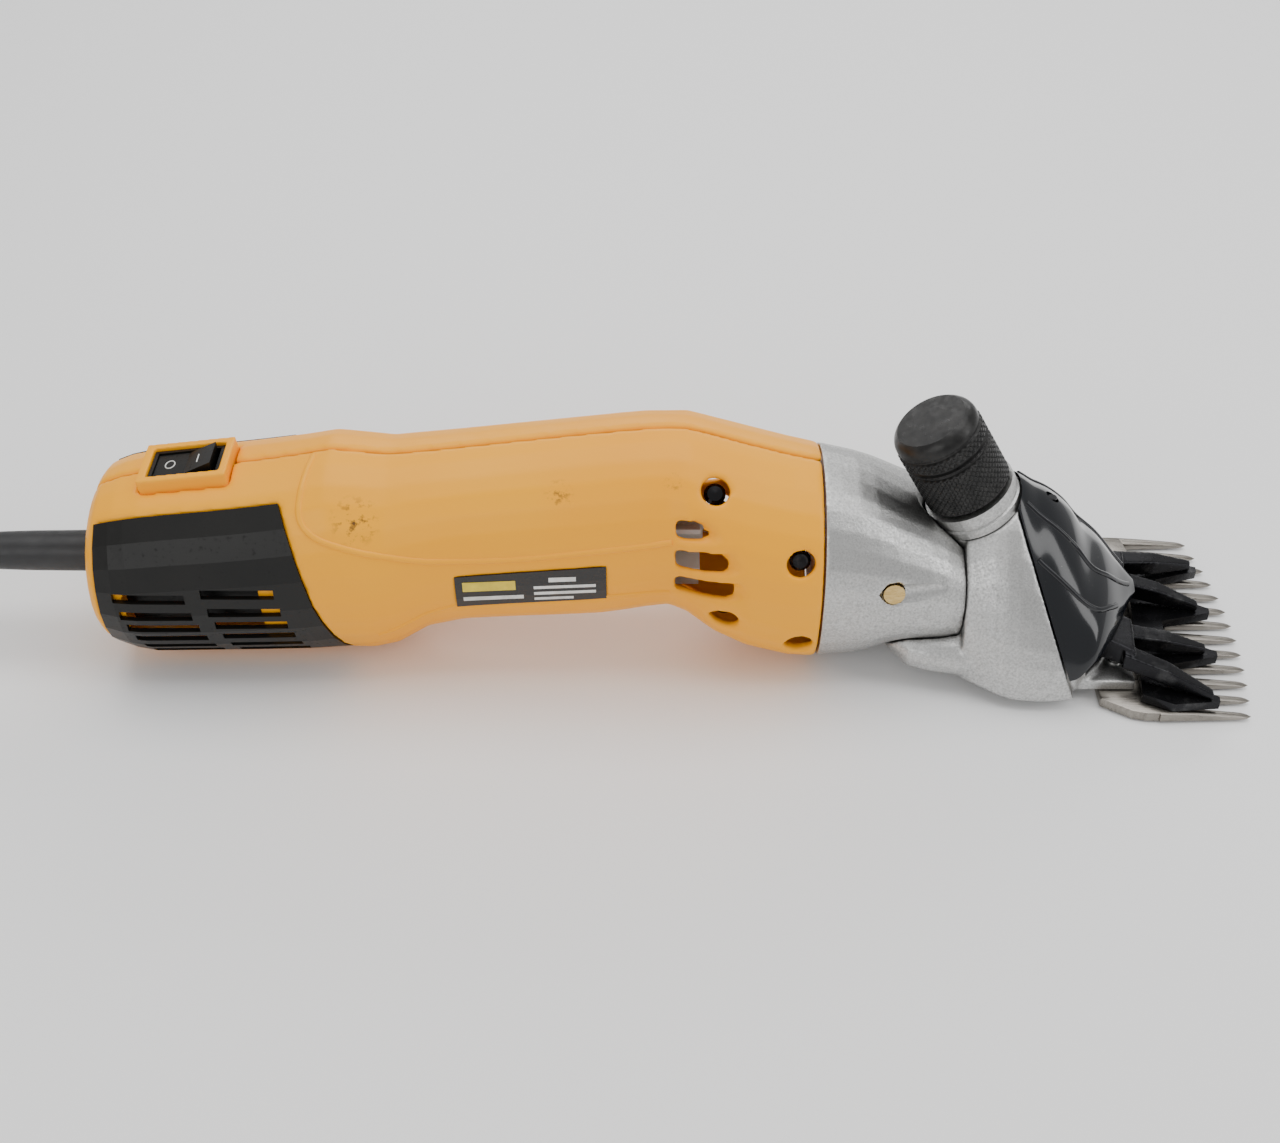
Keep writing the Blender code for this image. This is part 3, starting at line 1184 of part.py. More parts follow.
def make_cord():
    relief = [
        (CORD_RADIUS + FIT, 0.0), (RELIEF_RADIUS, 0.0), (RELIEF_RADIUS, -0.0030),
        (RELIEF_RADIUS * 0.96, -RELIEF_LENGTH * 0.5), (RELIEF_RADIUS * 0.84, -RELIEF_LENGTH),
        (CORD_RADIUS + FIT, -RELIEF_LENGTH),
    ]
    sleeve = [(radius, -z) for radius, z in relief]
    sleeve.reverse()
    turn = Matrix.Translation((BODY_REAR_X + 0.002, 0, CORD_Z)) @ Matrix.Rotation(-math.pi / 2, 4, "Y")
    add_turned("strain_relief", sleeve, "black_rubber", turn, sides=28)
    curve = bpy.data.curves.new("cord", "CURVE")
    curve.dimensions = "3D"
    way = [(BODY_REAR_X + 0.004, 0.0, CORD_Z), (BODY_REAR_X - 0.022, 0.0, CORD_Z)] + list(CORD_WAY)
    points = smooth_way(way, 2.2 * CORD_RADIUS * 2)
    spline = curve.splines.new("POLY")
    spline.points.add(len(points) - 1)
    for target, point in zip(spline.points, points):
        target.co = (*point, 1.0)
    curve.bevel_depth = CORD_RADIUS
    curve.bevel_resolution = 2
    curve.use_fill_caps = True
    cord = bpy.data.objects.new("cord", curve)
    PARTS.objects.link(cord)
    curve.materials.append(material("black_rubber"))
    inner = COIL_RADIUS - COIL_HALF_WIDTH
    outer = COIL_RADIUS + COIL_HALF_WIDTH
    ring_profile = [(inner + 0.003, COIL_HEIGHT), (outer - 0.003, COIL_HEIGHT),
                    (outer, COIL_HEIGHT - 0.003), (outer, 0.003), (outer - 0.003, 0.0),
                    (inner + 0.003, 0.0), (inner, 0.003), (inner, COIL_HEIGHT - 0.003)]
    add_turned("cord_coil", ring_profile, "black_rubber",
               Matrix.Translation((*COIL_CENTRE, 0.0)), sides=40)


def make_plug():
    """A two pin mains plug that lies on the coil."""
    x = COIL_CENTRE[0] + 0.012
    y = COIL_CENTRE[1] - COIL_RADIUS + 0.0090
    body = loft_mesh([
        [(x + offset, y + half * math.cos(turn), PLUG_Z + 0.0135 + high * math.sin(turn))
         for turn in [2 * math.pi * step / 20 for step in range(20)]]
        for offset, half, high in ((-0.026, 0.0060, 0.0060), (-0.012, 0.0085, 0.0075),
                                   (0.000, 0.0150, 0.0105), (0.012, 0.0185, 0.0130),
                                   (0.018, 0.0185, 0.0130))
    ])
    add_object("plug_body", body, "black_rubber")
    for side, word in ((-1, "right"), (1, "left")):
        add_turned("plug_pin_" + word, disc(0.0024, 0.019), "bright_steel",
                   along_x(x + 0.0183, y + side * 0.0095, PLUG_Z + 0.0135), sides=16)


def main():
    make_housing(-1, "housing_right")
    make_housing(1, "housing_left")
    for side, word in ((-1, "right"), (1, "left")):
        make_grille(side, "grille_" + word)
        make_side_screws(side, word)
    make_label()
    make_switch()
    make_motor()
    make_gear_housing()
    make_gear_plate()
    make_gears()
    make_head()
    make_collar()
    make_hood()
    make_cutting_head()
    make_cord()
    make_plug()


main()
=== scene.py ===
# %% [markdown]
# # Electric sheep shears
# The shears are a motor in a yellow two part housing, a cast gear housing and head, and a
# steel comb with a swinging cutter.  The frame gives every piece its place; these cells build
# the fine surfaces around it.

# %% Load the frame
import json
import math

import bmesh
import bpy
import numpy as np
from mathutils import Matrix, Vector
from mathutils.bvhtree import BVHTree


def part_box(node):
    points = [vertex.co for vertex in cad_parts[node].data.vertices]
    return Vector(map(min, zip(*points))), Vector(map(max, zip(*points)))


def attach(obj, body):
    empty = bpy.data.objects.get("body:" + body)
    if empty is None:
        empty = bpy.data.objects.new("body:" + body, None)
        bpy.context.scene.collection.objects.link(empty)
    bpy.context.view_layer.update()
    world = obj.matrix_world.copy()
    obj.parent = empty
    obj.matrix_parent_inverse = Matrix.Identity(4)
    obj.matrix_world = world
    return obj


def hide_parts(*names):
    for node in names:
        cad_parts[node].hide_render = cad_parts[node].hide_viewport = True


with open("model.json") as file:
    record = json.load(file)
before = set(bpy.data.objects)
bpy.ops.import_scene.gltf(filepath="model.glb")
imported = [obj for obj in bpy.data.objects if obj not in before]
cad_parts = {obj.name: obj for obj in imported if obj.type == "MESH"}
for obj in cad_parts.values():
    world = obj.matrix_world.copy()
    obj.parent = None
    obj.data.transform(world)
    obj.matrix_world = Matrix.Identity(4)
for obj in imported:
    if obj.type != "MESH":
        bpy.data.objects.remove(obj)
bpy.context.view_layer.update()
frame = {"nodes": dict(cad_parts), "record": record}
scene = bpy.context.scene
print("frame:", len(frame["nodes"]), "nodes")

# %% [markdown]
# ## Camera
# The camera looks down on the side with the label, as someone does who stands at the bench.

# %% Camera
VIEW_DROP = math.radians(40)
camera_data = bpy.data.cameras.new("camera")
camera_data.lens = 48.15
camera_data.sensor_width = 36.0
camera = bpy.data.objects.new("camera", camera_data)
scene.collection.objects.link(camera)
camera.location = (-0.0120, -0.3801, 0.3410)
camera.rotation_euler = (math.pi / 2 - VIEW_DROP, 0.0, 0.0)
scene.camera = camera
print("camera:", camera_data.lens, "mm, looking down", round(math.degrees(VIEW_DROP)), "degrees")

# %% [markdown]
# ## Mesh helpers
# Pieces are plain meshes in the frame's own coordinates.  A few helpers keep each cell short:
# one turns a bmesh into an object, one runs a modifier stack down to a plain mesh, and one
# makes a solid through a row of rings.


# %% Helpers
MERGE_DISTANCE = 1e-7


def link_mesh(name, mesh, smooth_angle=35):
    item = bpy.data.objects.new(name, mesh)
    scene.collection.objects.link(item)
    mesh.shade_smooth()
    mesh.set_sharp_from_angle(angle=math.radians(smooth_angle))
    return item


def from_bmesh(name, draft, smooth_angle=35):
    bmesh.ops.remove_doubles(draft, verts=draft.verts, dist=MERGE_DISTANCE)
    bmesh.ops.recalc_face_normals(draft, faces=draft.faces)
    mesh = bpy.data.meshes.new(name)
    draft.to_mesh(mesh)
    draft.free()
    return link_mesh(name, mesh, smooth_angle)


def settle(item, smooth_angle=35):
    """Replaces an object's mesh by what its modifiers make of it."""
    graph = bpy.context.evaluated_depsgraph_get()
    graph.update()
    mesh = bpy.data.meshes.new_from_object(item.evaluated_get(graph))
    item.modifiers.clear()
    item.data = mesh
    mesh.transform(item.matrix_world)
    item.matrix_world = Matrix.Identity(4)
    mesh.shade_smooth()
    mesh.set_sharp_from_angle(angle=math.radians(smooth_angle))
    return item


def bridge(draft, first, second):
    """A band of faces between two closed rings of corners."""
    for step in range(len(first)):
        after = (step + 1) % len(first)
        draft.faces.new((first[step], first[after], second[after], second[step]))


def ring_loft(name, rings, smooth_angle=35):
    """A capped skin through rings of equal point count."""
    draft = bmesh.new()
    loops = [[draft.verts.new(point) for point in ring] for ring in rings]
    for first, second in zip(loops, loops[1:]):
        bridge(draft, first, second)
    draft.faces.new(loops[0])
    draft.faces.new(loops[-1])
    return from_bmesh(name, draft, smooth_angle)


def drill(name, radius, low, high, place, sides=32):
    """A closed cylinder about Z from one height to another, for cutting holes."""
    draft = bmesh.new()
    profile = ((0.0, high), (radius, high), (radius, low), (0.0, low))
    points = [draft.verts.new((across, 0.0, z)) for across, z in profile]
    edges = [draft.edges.new(pair) for pair in zip(points, points[1:])]
    bmesh.ops.spin(draft, geom=points + edges, axis=(0, 0, 1), cent=(0, 0, 0),
                   steps=sides, angle=2 * math.pi, use_merge=True)
    bmesh.ops.transform(draft, matrix=place, verts=draft.verts)
    return from_bmesh(name, draft)


def boolean(item, cutters, operation="DIFFERENCE"):
    """Cuts an object with several closed ones and removes them."""
    for cutter in cutters:
        modifier = item.modifiers.new("cut", "BOOLEAN")
        modifier.operation = operation
        modifier.solver = "EXACT"
        modifier.object = cutter
    settle(item)
    for cutter in cutters:
        bpy.data.objects.remove(cutter, do_unlink=True)


def bevel(item, width):
    modifier = item.modifiers.new("edge", "BEVEL")
    modifier.width = width
    modifier.segments = 2
    modifier.limit_method = "ANGLE"
    modifier.angle_limit = math.radians(40)
    modifier.harden_normals = False
    return settle(item)


def shell_of(node_name):
    """A CAD node's skin as a tree that rays can be cast at."""
    mesh = frame["nodes"][node_name].data
    return BVHTree.FromPolygons([vertex.co for vertex in mesh.vertices],
                                [tuple(face.vertices) for face in mesh.polygons])


def ride(item, body, material, replaced=()):
    """Gives a finished piece its material and body, and hides the nodes that it stands for."""
    item.data.materials.clear()
    item.data.materials.append(material)
    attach(item, body)
    if replaced:
        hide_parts(*replaced)
    return item


# %% [markdown]
# ## Materials
# Each finish is a Principled shader with its detail worked out from Object coordinates, so it
# stays on the piece at any angle: mould grain, casting sparkle, grinding lines, rubbed spots.
# A small class that adds the nodes is shorter than linking them by hand for every finish.


# %% Node helpers
class Shader:
    """A small wrapper that adds nodes to one material and links them."""

    def __init__(self, name, colour, roughness, metallic=0.0):
        self.material = bpy.data.materials.new(name)
        self.material.use_nodes = True
        self.nodes = self.material.node_tree.nodes
        self.links = self.material.node_tree.links
        self.shader = self.nodes["Principled BSDF"]
        self.shader.inputs["Base Color"].default_value = (*colour, 1.0)
        self.shader.inputs["Roughness"].default_value = roughness
        self.shader.inputs["Metallic"].default_value = metallic
        self.place = self.nodes.new("ShaderNodeTexCoord").outputs["Object"]

    def set(self, values):
        for name, value in values.items():
            self.shader.inputs[name].default_value = value

    def noise(self, scale, detail=3.0, roughness=0.5, stretch=None):
        node = self.nodes.new("ShaderNodeTexNoise")
        node.inputs["Scale"].default_value = scale
        node.inputs["Detail"].default_value = detail
        node.inputs["Roughness"].default_value = roughness
        self.links.new(self.mapped(stretch), node.inputs["Vector"])
        return node.outputs["Fac"]

    def mapped(self, stretch):
        if stretch is None:
            return self.place
        node = self.nodes.new("ShaderNodeMapping")
        node.inputs["Scale"].default_value = stretch
        self.links.new(self.place, node.inputs["Vector"])
        return node.outputs["Vector"]

    def ramp(self, value, stops):
        """A colour ramp from (place, colour or grey) stops."""
        node = self.nodes.new("ShaderNodeValToRGB")
        elements = node.color_ramp.elements
        while len(elements) < len(stops):
            elements.new(0.5)
        for element, (place, colour) in zip(elements, stops):
            element.position = place
            if isinstance(colour, (int, float)):
                colour = (colour, colour, colour)
            element.color = (*colour, 1.0)
        self.links.new(value, node.inputs["Fac"])
        return node.outputs["Color"]

    def mix(self, factor, first, second, mode="MIX"):
        node = self.nodes.new("ShaderNodeMix")
        node.data_type = "RGBA"
        node.blend_type = mode
        for socket, value in ((node.inputs["Factor"], factor), (node.inputs[6], first),
                              (node.inputs[7], second)):
            self.feed(value, socket)
        return node.outputs[2]

    def math(self, operation, first, second=0.0, clamp=False):
        node = self.nodes.new("ShaderNodeMath")
        node.operation = operation
        node.use_clamp = clamp
        self.feed(first, node.inputs[0])
        self.feed(second, node.inputs[1])
        return node.outputs[0]

    def feed(self, value, socket):
        if isinstance(value, bpy.types.NodeSocket):
            self.links.new(value, socket)
        elif isinstance(value, tuple):
            socket.default_value = (*value, 1.0)
        else:
            socket.default_value = value

    def bump(self, height, strength, distance):
        node = self.nodes.new("ShaderNodeBump")
        node.inputs["Strength"].default_value = strength
        node.inputs["Distance"].default_value = distance
        self.links.new(height, node.inputs["Height"])
        if self.shader.inputs["Normal"].is_linked:
            before = self.shader.inputs["Normal"].links[0].from_socket
            self.links.new(before, node.inputs["Normal"])
        self.links.new(node.outputs["Normal"], self.shader.inputs["Normal"])

    def colour(self, value):
        self.feed(value, self.shader.inputs["Base Color"])

    def roughness(self, value):
        self.feed(value, self.shader.inputs["Roughness"])

    def grained(self, scale, detail, stops, stretch=None):
        """A ramp over a noise, which is what most of the finishes are made of."""
        return self.ramp(self.noise(scale, detail, stretch=stretch), stops)


# %% Cord rubber and the plug's metal
def rubber_material():
    rubber = Shader("cord rubber", (0.012, 0.012, 0.013), 0.42)
    wear = [(0.35, (0.009, 0.009, 0.010)), (0.7, (0.020, 0.020, 0.021))]
    rubber.colour(rubber.grained(90, 5, wear))
    rubber.roughness(rubber.grained(260, 4, [(0.3, 0.34), (0.75, 0.55)]))
    rubber.bump(rubber.noise(1800, 2), 0.12, 0.0001)
    return rubber.material


def bright_steel_material():
    steel = Shader("bright steel", (0.62, 0.62, 0.61), 0.24, 1.0)
    steel.roughness(steel.grained(420, 3, [(0.3, 0.18), (0.7, 0.36)], (1.0, 1.0, 6.0)))
    steel.colour(steel.grained(140, 4, [(0.3, (0.50, 0.50, 0.49)), (0.7, (0.68, 0.68, 0.67))]))
    return steel.material


RUBBER = rubber_material()
BRIGHT_STEEL = bright_steel_material()

# %% [markdown]
# ## Cord
# A mains lead is one length of round flexible cable.  It leaves the sleeve straight, comes
# down to the table, and the length that is put away lies in a neat coil of three rows of
# turns, three high, with the plug on top.

# %% Cord route
CORD_DIAMETER = 0.0075
CORD_Z = 0.0300
CORD_START_X = -0.160
SLEEVE_MIDDLE_X = -0.186
COIL_ROWS = 3                 # side by side, and as many on top of each other
COIL_GAP = 0.0003
COIL_CHANGE = 0.12            # share of a turn, at each end, in which the cord changes rows
COIL_LEAD_IN = 0.06           # turns
COIL_END = 0.15               # turns left out at the far end
# the free stretch, as in the frame
CORD_WAY = (
    (-0.2125, 0.0000, 0.0300), (-0.2250, 0.0000, 0.0294), (-0.2380, 0.0005, 0.0268),
    (-0.2500, 0.0020, 0.0218), (-0.2610, 0.0045, 0.0158), (-0.2720, 0.0080, 0.0105),
    (-0.2830, 0.0120, 0.0064), (-0.2950, 0.0160, 0.0045), (-0.3080, 0.0190, 0.0040),
)
coil_low, coil_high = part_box("cord_coil")
coil_x = (coil_low[0] + coil_high[0]) / 2
coil_y = (coil_low[1] + coil_high[1]) / 2
coil_outer = (coil_high[0] - coil_low[0]) / 2


def smooth_way(points, spacing):
    """Points at an even spacing along a smooth curve through the given ones."""
    points = [np.array(point, dtype=float) for point in points]
    padded = [2 * points[0] - points[1]] + points + [2 * points[-1] - points[-2]]
    dense = []
    for index in range(1, len(padded) - 2):
        before, here, after, beyond = padded[index - 1:index + 3]
        for t in np.linspace(0, 1, 12, endpoint=False):
            value = 2 * here + (after - before) * t
            value = value + (2 * before - 5 * here + 4 * after - beyond) * t**2
            value = value + (3 * here - before - 3 * after + beyond) * t**3
            dense.append(value / 2)
    dense.append(points[-1])
    dense = np.array(dense)
    reach = np.concatenate([[0], np.cumsum(np.linalg.norm(np.diff(dense, axis=0), axis=1))])
    count = max(2, int(round(reach[-1] / spacing)))
    marks = np.linspace(0, reach[-1], count + 1)
    return np.column_stack([np.interp(marks, reach, dense[:, axis]) for axis in range(3)])


def coil_path():
    """Turns in layers; each layer winds in or out, then climbs to the next one."""
    pitch = CORD_DIAMETER * 1.01
    first = coil_outer - CORD_DIAMETER / 2 - COIL_GAP
    radii = [first - pitch * ring for ring in range(COIL_ROWS)]
    stations = []          # (turn, radius, height)
    turn = 0.0
    for layer in range(COIL_ROWS):
        height = CORD_DIAMETER / 2 + COIL_GAP + layer * pitch
        order = radii if layer % 2 == 0 else radii[::-1]
        for radius in order:
            stations.append((turn + COIL_CHANGE, radius, height))
            stations.append((turn + 1 - COIL_CHANGE, radius, height))
            turn += 1.0
    return stations, turn


CORD_START = (CORD_START_X, 0.0, CORD_Z)
way = smooth_way([CORD_START, (SLEEVE_MIDDLE_X, 0.0, CORD_Z)] + list(CORD_WAY), 0.012)
stations, turns = coil_path()
enter = math.atan2(way[-1][1] - coil_y, way[-1][0] - coil_x)
heading = way[-1] - way[-2]
radial = np.array([way[-1][0] - coil_x, way[-1][1] - coil_y])
spin = 1.0 if radial[0] * heading[1] - radial[1] * heading[0] > 0 else -1.0
marks = np.array([station[0] for station in stations])
ring_radii = np.array([station[1] for station in stations])
ring_heights = np.array([station[2] for station in stations])
coil = []
for turn in np.arange(COIL_LEAD_IN, turns - COIL_END, 1 / 20):
    angle = enter + spin * 2 * math.pi * turn
    radius = float(np.interp(turn, marks, ring_radii))
    height = float(np.interp(turn, marks, ring_heights))
    coil.append((coil_x + radius * math.cos(angle), coil_y + radius * math.sin(angle), height))
cord_path = np.array([tuple(point) for point in way] + coil)


# %% Cord tube
def tube(name, path, radius, sides=16):
    """A round tube along a path, with frames carried along it and domed ends."""
    path = [Vector(point) for point in path]
    tangents = []
    for index in range(len(path)):
        before = path[max(0, index - 1)]
        after = path[min(len(path) - 1, index + 1)]
        tangents.append((after - before).normalized())
    up = Vector((0, 0, 1))
    rings = []
    for point, tangent in zip(path, tangents):
        up = (up - tangent * up.dot(tangent)).normalized()
        side = tangent.cross(up)
        rings.append([point + (up * math.cos(turn) + side * math.sin(turn)) * radius
                      for turn in [2 * math.pi * step / sides for step in range(sides)]])
    return ring_loft(name, rings, smooth_angle=60)


cord = tube("lead", cord_path, CORD_DIAMETER / 2)
ride(cord, "handpiece", RUBBER, ("cord", "cord_coil"))


# %% [markdown]
# ## Finishes
# One finish for each slot of the record.  The housing is a moulded yellow plastic with fine
# grain and a few rubbed scuffs; the castings are blasted aluminium that sparkles; the hood is
# gloss paint; comb and cutter are ground steel.  Each is made once and shared by all the
# pieces of that finish, so that they match.


# %% Plastics and paints
# the middle and the reach of each rubbed spot on the housing
SCUFFS = (
    ((-0.0885, -0.0195, 0.0560), 0.0075), ((-0.0335, -0.0160, 0.0620), 0.0048),
    ((-0.0030, -0.0150, 0.0650), 0.0040),
)


def yellow_plastic():
    paint = Shader("yellow plastic", (1.0, 0.42, 0.0), 0.38)
    shade = paint.grained(18, 3, [(0.25, (0.98, 0.385, 0.0)), (0.8, (1.0, 0.435, 0.0))])
    spots = None
    for place, size in SCUFFS:
        distance = paint.nodes.new("ShaderNodeVectorMath")
        distance.operation = "DISTANCE"
        paint.links.new(paint.place, distance.inputs[0])
        distance.inputs[1].default_value = place
        away = paint.math("DIVIDE", distance.outputs["Value"], size)
        near = paint.math("SUBTRACT", 1.0, away, True)
        spots = near if spots is None else paint.math("MAXIMUM", spots, near)
    speckle = paint.ramp(paint.noise(420, 6, 0.7), [(0.52, 0.0), (0.60, 1.0)])
    scuff = paint.math("MULTIPLY", paint.math("MULTIPLY", spots, speckle), 1.1, True)
    paint.colour(paint.mix(scuff, shade, (0.10, 0.045, 0.012)))
    paint.roughness(paint.grained(55, 4, [(0.3, 0.34), (0.75, 0.46)]))
    paint.bump(paint.noise(1600, 2), 0.10, 0.0001)
    paint.set({"Specular IOR Level": 0.30})
    return paint.material


def black_plastic():
    paint = Shader("black plastic", (0.006, 0.006, 0.006), 0.40)
    paint.set({"Specular IOR Level": 0.30})
    faded = [(0.3, (0.0045, 0.0045, 0.004)), (0.75, (0.009, 0.0085, 0.0075))]
    paint.colour(paint.grained(35, 4, faded))
    paint.roughness(paint.grained(900, 4, [(0.60, 0.36), (0.72, 0.62)]))
    paint.bump(paint.noise(1500, 2), 0.14, 0.0001)
    return paint.material


def gloss_black():
    paint = Shader("gloss black paint", (0.006, 0.007, 0.009), 0.10)
    paint.set({"Specular IOR Level": 0.35, "Coat Weight": 0.25, "Coat Roughness": 0.05})
    specks = paint.grained(1300, 2, [(0.74, 0.0), (0.78, 1.0)])
    paint.colour(paint.mix(specks, (0.004, 0.005, 0.007), (0.09, 0.085, 0.08)))
    paint.roughness(paint.grained(45, 4, [(0.3, 0.10), (0.8, 0.20)]))
    paint.bump(paint.noise(110, 2), 0.02, 0.0002)
    return paint.material


def knob_black():
    paint = Shader("black anodised knob", (0.020, 0.020, 0.020), 0.34, 0.6)
    handled = [(0.3, (0.014, 0.014, 0.014)), (0.75, (0.034, 0.033, 0.032))]
    paint.colour(paint.grained(300, 4, handled))
    paint.roughness(paint.grained(500, 3, [(0.3, 0.26), (0.7, 0.44)]))
    return paint.material


def label_black():
    paint = Shader("label film", (0.010, 0.010, 0.010), 0.22)
    paint.roughness(paint.grained(120, 3, [(0.3, 0.16), (0.7, 0.32)]))
    paint.bump(paint.noise(90, 2), 0.05, 0.0002)
    return paint.material


def nylon():
    paint = Shader("white nylon", (0.72, 0.72, 0.68), 0.5)
    paint.colour(paint.grained(120, 3, [(0.3, (0.66, 0.66, 0.61)), (0.7, (0.76, 0.76, 0.72))]))
    return paint.material


# %% Metals
def cast_aluminium():
    metal = Shader("blasted aluminium", (0.60, 0.60, 0.59), 0.36, 1.0)
    grain = metal.noise(1500, 4, 0.7)
    handled = metal.grained(40, 3, [(0.3, 0.0), (0.8, 0.35)])
    body = metal.ramp(grain, [(0.30, (0.33, 0.33, 0.325)), (0.62, (0.60, 0.60, 0.59))])
    metal.colour(metal.mix(handled, body, (0.55, 0.545, 0.53)))
    metal.roughness(metal.ramp(grain, [(0.35, 0.48), (0.65, 0.28)]))
    metal.bump(grain, 0.55, 0.00018)
    metal.bump(metal.noise(420, 3), 0.30, 0.0003)
    return metal.material


def ground_steel():
    metal = Shader("ground steel", (0.46, 0.43, 0.39), 0.30, 1.0)
    lines = metal.noise(320, 5, 0.7, stretch=(0.35, 9.0, 1.0))
    metal.colour(metal.ramp(lines, [(0.3, (0.20, 0.185, 0.165)), (0.7, (0.36, 0.335, 0.30))]))
    metal.roughness(metal.ramp(lines, [(0.3, 0.22), (0.7, 0.40)]))
    metal.bump(lines, 0.25, 0.0001)
    return metal.material


def dark_steel():
    metal = Shader("blackened steel", (0.030, 0.030, 0.032), 0.24, 0.85)
    worn = [(0.55, (0.018, 0.018, 0.020)), (0.80, (0.12, 0.12, 0.12))]
    metal.colour(metal.ramp(metal.noise(70, 5, 0.65), worn))
    metal.roughness(metal.grained(160, 4, [(0.3, 0.16), (0.7, 0.36)]))
    metal.bump(metal.noise(500, 3), 0.12, 0.0002)
    return metal.material


def plain_metal(name, low, high, rough, stretch=(1.0, 5.0, 5.0)):
    metal = Shader(name, high, rough, 1.0)
    lines = metal.noise(380, 4, stretch=stretch)
    metal.colour(metal.ramp(lines, [(0.3, low), (0.7, high)]))
    metal.roughness(metal.ramp(lines, [(0.3, rough - 0.08), (0.7, rough + 0.08)]))
    return metal.material


FINISH = {
    "yellow_plastic": yellow_plastic(), "black_plastic": black_plastic(),
    "gloss_black": gloss_black(), "knob_black": knob_black(), "label_black": label_black(),
    "white_nylon": nylon(), "cast_aluminium": cast_aluminium(), "ground_steel": ground_steel(),
    "dark_steel": dark_steel(), "black_rubber": RUBBER, "bright_steel": BRIGHT_STEEL,
    "brass": plain_metal("brass", (0.50, 0.34, 0.12), (0.74, 0.54, 0.24), 0.28),
    "copper": plain_metal("copper wire", (0.42, 0.16, 0.07), (0.70, 0.30, 0.15), 0.30, (9, 1, 1)),
    "carbon": plain_metal("carbon", (0.020, 0.020, 0.020), (0.045, 0.045, 0.045), 0.5),
}
for entry in frame["record"]["subparts"]:
    node = frame["nodes"][entry["node"]]
    if not node.material_slots:
        node.data.materials.append(None)
    for place in node.material_slots:
        place.material = FINISH[entry["material_slot"]]
print("finishes:", len(FINISH))

# %% [markdown]
# ## Rounded mouldings and castings
# A mould has no sharp edges.  Each big shell is rebuilt as a fine even mesh of its CAD shape
# and then relaxed, which rounds its edges by about half a millimetre, as a draft angle and a
# worn mould do.  A bevel could do this on a simple box, but not where holes meet curved walls.


# %% Rounding
RECESS_LENGTH = 0.0245
RECESS_HALF_HEIGHT = 0.0052
RECESS_REACH = 0.0054         # how far the cutter bulges towards the casting
RECESS_SIDES = 28


def gear_recess():
    """A long cutter beside the set screw, which only grazes the near side of the casting."""
    low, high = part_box("set_screw")
    middle_x, middle_z = (low[0] + high[0]) / 2, (low[2] + high[2]) / 2
    turns = [2 * math.pi * corner / RECESS_SIDES for corner in range(RECESS_SIDES)]
    rings = []
    for step in range(25):
        share = step / 24
        swell = math.sqrt(max(0.0, 1 - (2 * share - 1) ** 4)) + 0.02
        x = middle_x - 0.0042 + RECESS_LENGTH * share
        z = middle_z + 0.0004 + 0.0016 * share
        half = RECESS_HALF_HEIGHT * swell * (1 - 0.28 * share)
        y = low[1] + 0.0002 + 0.0024 * share
        rings.append([(x, y - 0.004 + RECESS_REACH * math.cos(turn), z + half * math.sin(turn))
                      for turn in turns])
    return ring_loft("recess", rings)


def rounded(node_name, body, slot, voxel, relax):
    source = frame["nodes"][node_name]
    item = bpy.data.objects.new("fine_" + node_name, source.data.copy())
    scene.collection.objects.link(item)
    item.data.materials.clear()
    even = item.modifiers.new("even", "REMESH")
    even.mode = "VOXEL"
    even.voxel_size = voxel
    soft = item.modifiers.new("soft", "SMOOTH")
    soft.factor = 0.5
    soft.iterations = relax
    settle(item, smooth_angle=50)
    if node_name == "gear_housing":
        boolean(item, [gear_recess()])
    print("rounded", node_name, len(item.data.polygons), "faces")
    return ride(item, body, FINISH[slot], (node_name,))


for name, body, slot, voxel, relax in (
        ("housing_right", "handpiece", "yellow_plastic", 0.00085, 6),
        ("housing_left", "handpiece", "yellow_plastic", 0.00100, 5),
        ("gear_housing", "handpiece", "cast_aluminium", 0.00060, 5),
        ("head_casting", "handpiece", "cast_aluminium", 0.00060, 3),
        ("fork_right", "cutting_fork", "dark_steel", 0.00035, 4),
        ("fork_left", "cutting_fork", "dark_steel", 0.00035, 4),
        ("switch_frame", "handpiece", "yellow_plastic", 0.00035, 2),
        ("strain_relief", "handpiece", "black_rubber", 0.00050, 2),
):
    rounded(name, body, slot, voxel, relax)


# %% [markdown]
# ## Tension knob
# The knob is turned from bar: a smooth rounded cap, then a knurled barrel with three plain
# grooves near its top.  The diamond knurl is two sets of helical grooves pressed into a dense
# turned skin, which a loop over rows and columns gives more directly than a node tree.

# %% Knob
KNOB_TILT = math.radians(-30)
knob_low, knob_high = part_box("tension_knob")
knob_axis = Vector((math.sin(KNOB_TILT), 0.0, math.cos(KNOB_TILT)))
KNOB_RADIUS = (knob_high[1] - knob_low[1]) / 2
knob_middle = Vector([(a + b) / 2 for a, b in zip(knob_low, knob_high)])
knob_reach = (knob_high[2] - knob_low[2] - 2 * KNOB_RADIUS * abs(math.sin(KNOB_TILT)))
KNOB_LENGTH = knob_reach / math.cos(KNOB_TILT)
KNURLS = 40
KNURL_DEPTH = 0.00042
CAP_LENGTH = 0.0046
CAP_ROUNDING = 0.0022
GROOVES = (0.0049, 0.0092, 0.0110)    # below the top face
GROOVE_HALF = 0.0007
GROOVE_DEPTH = 0.0009
KNOB_CHAMFER = 0.0008


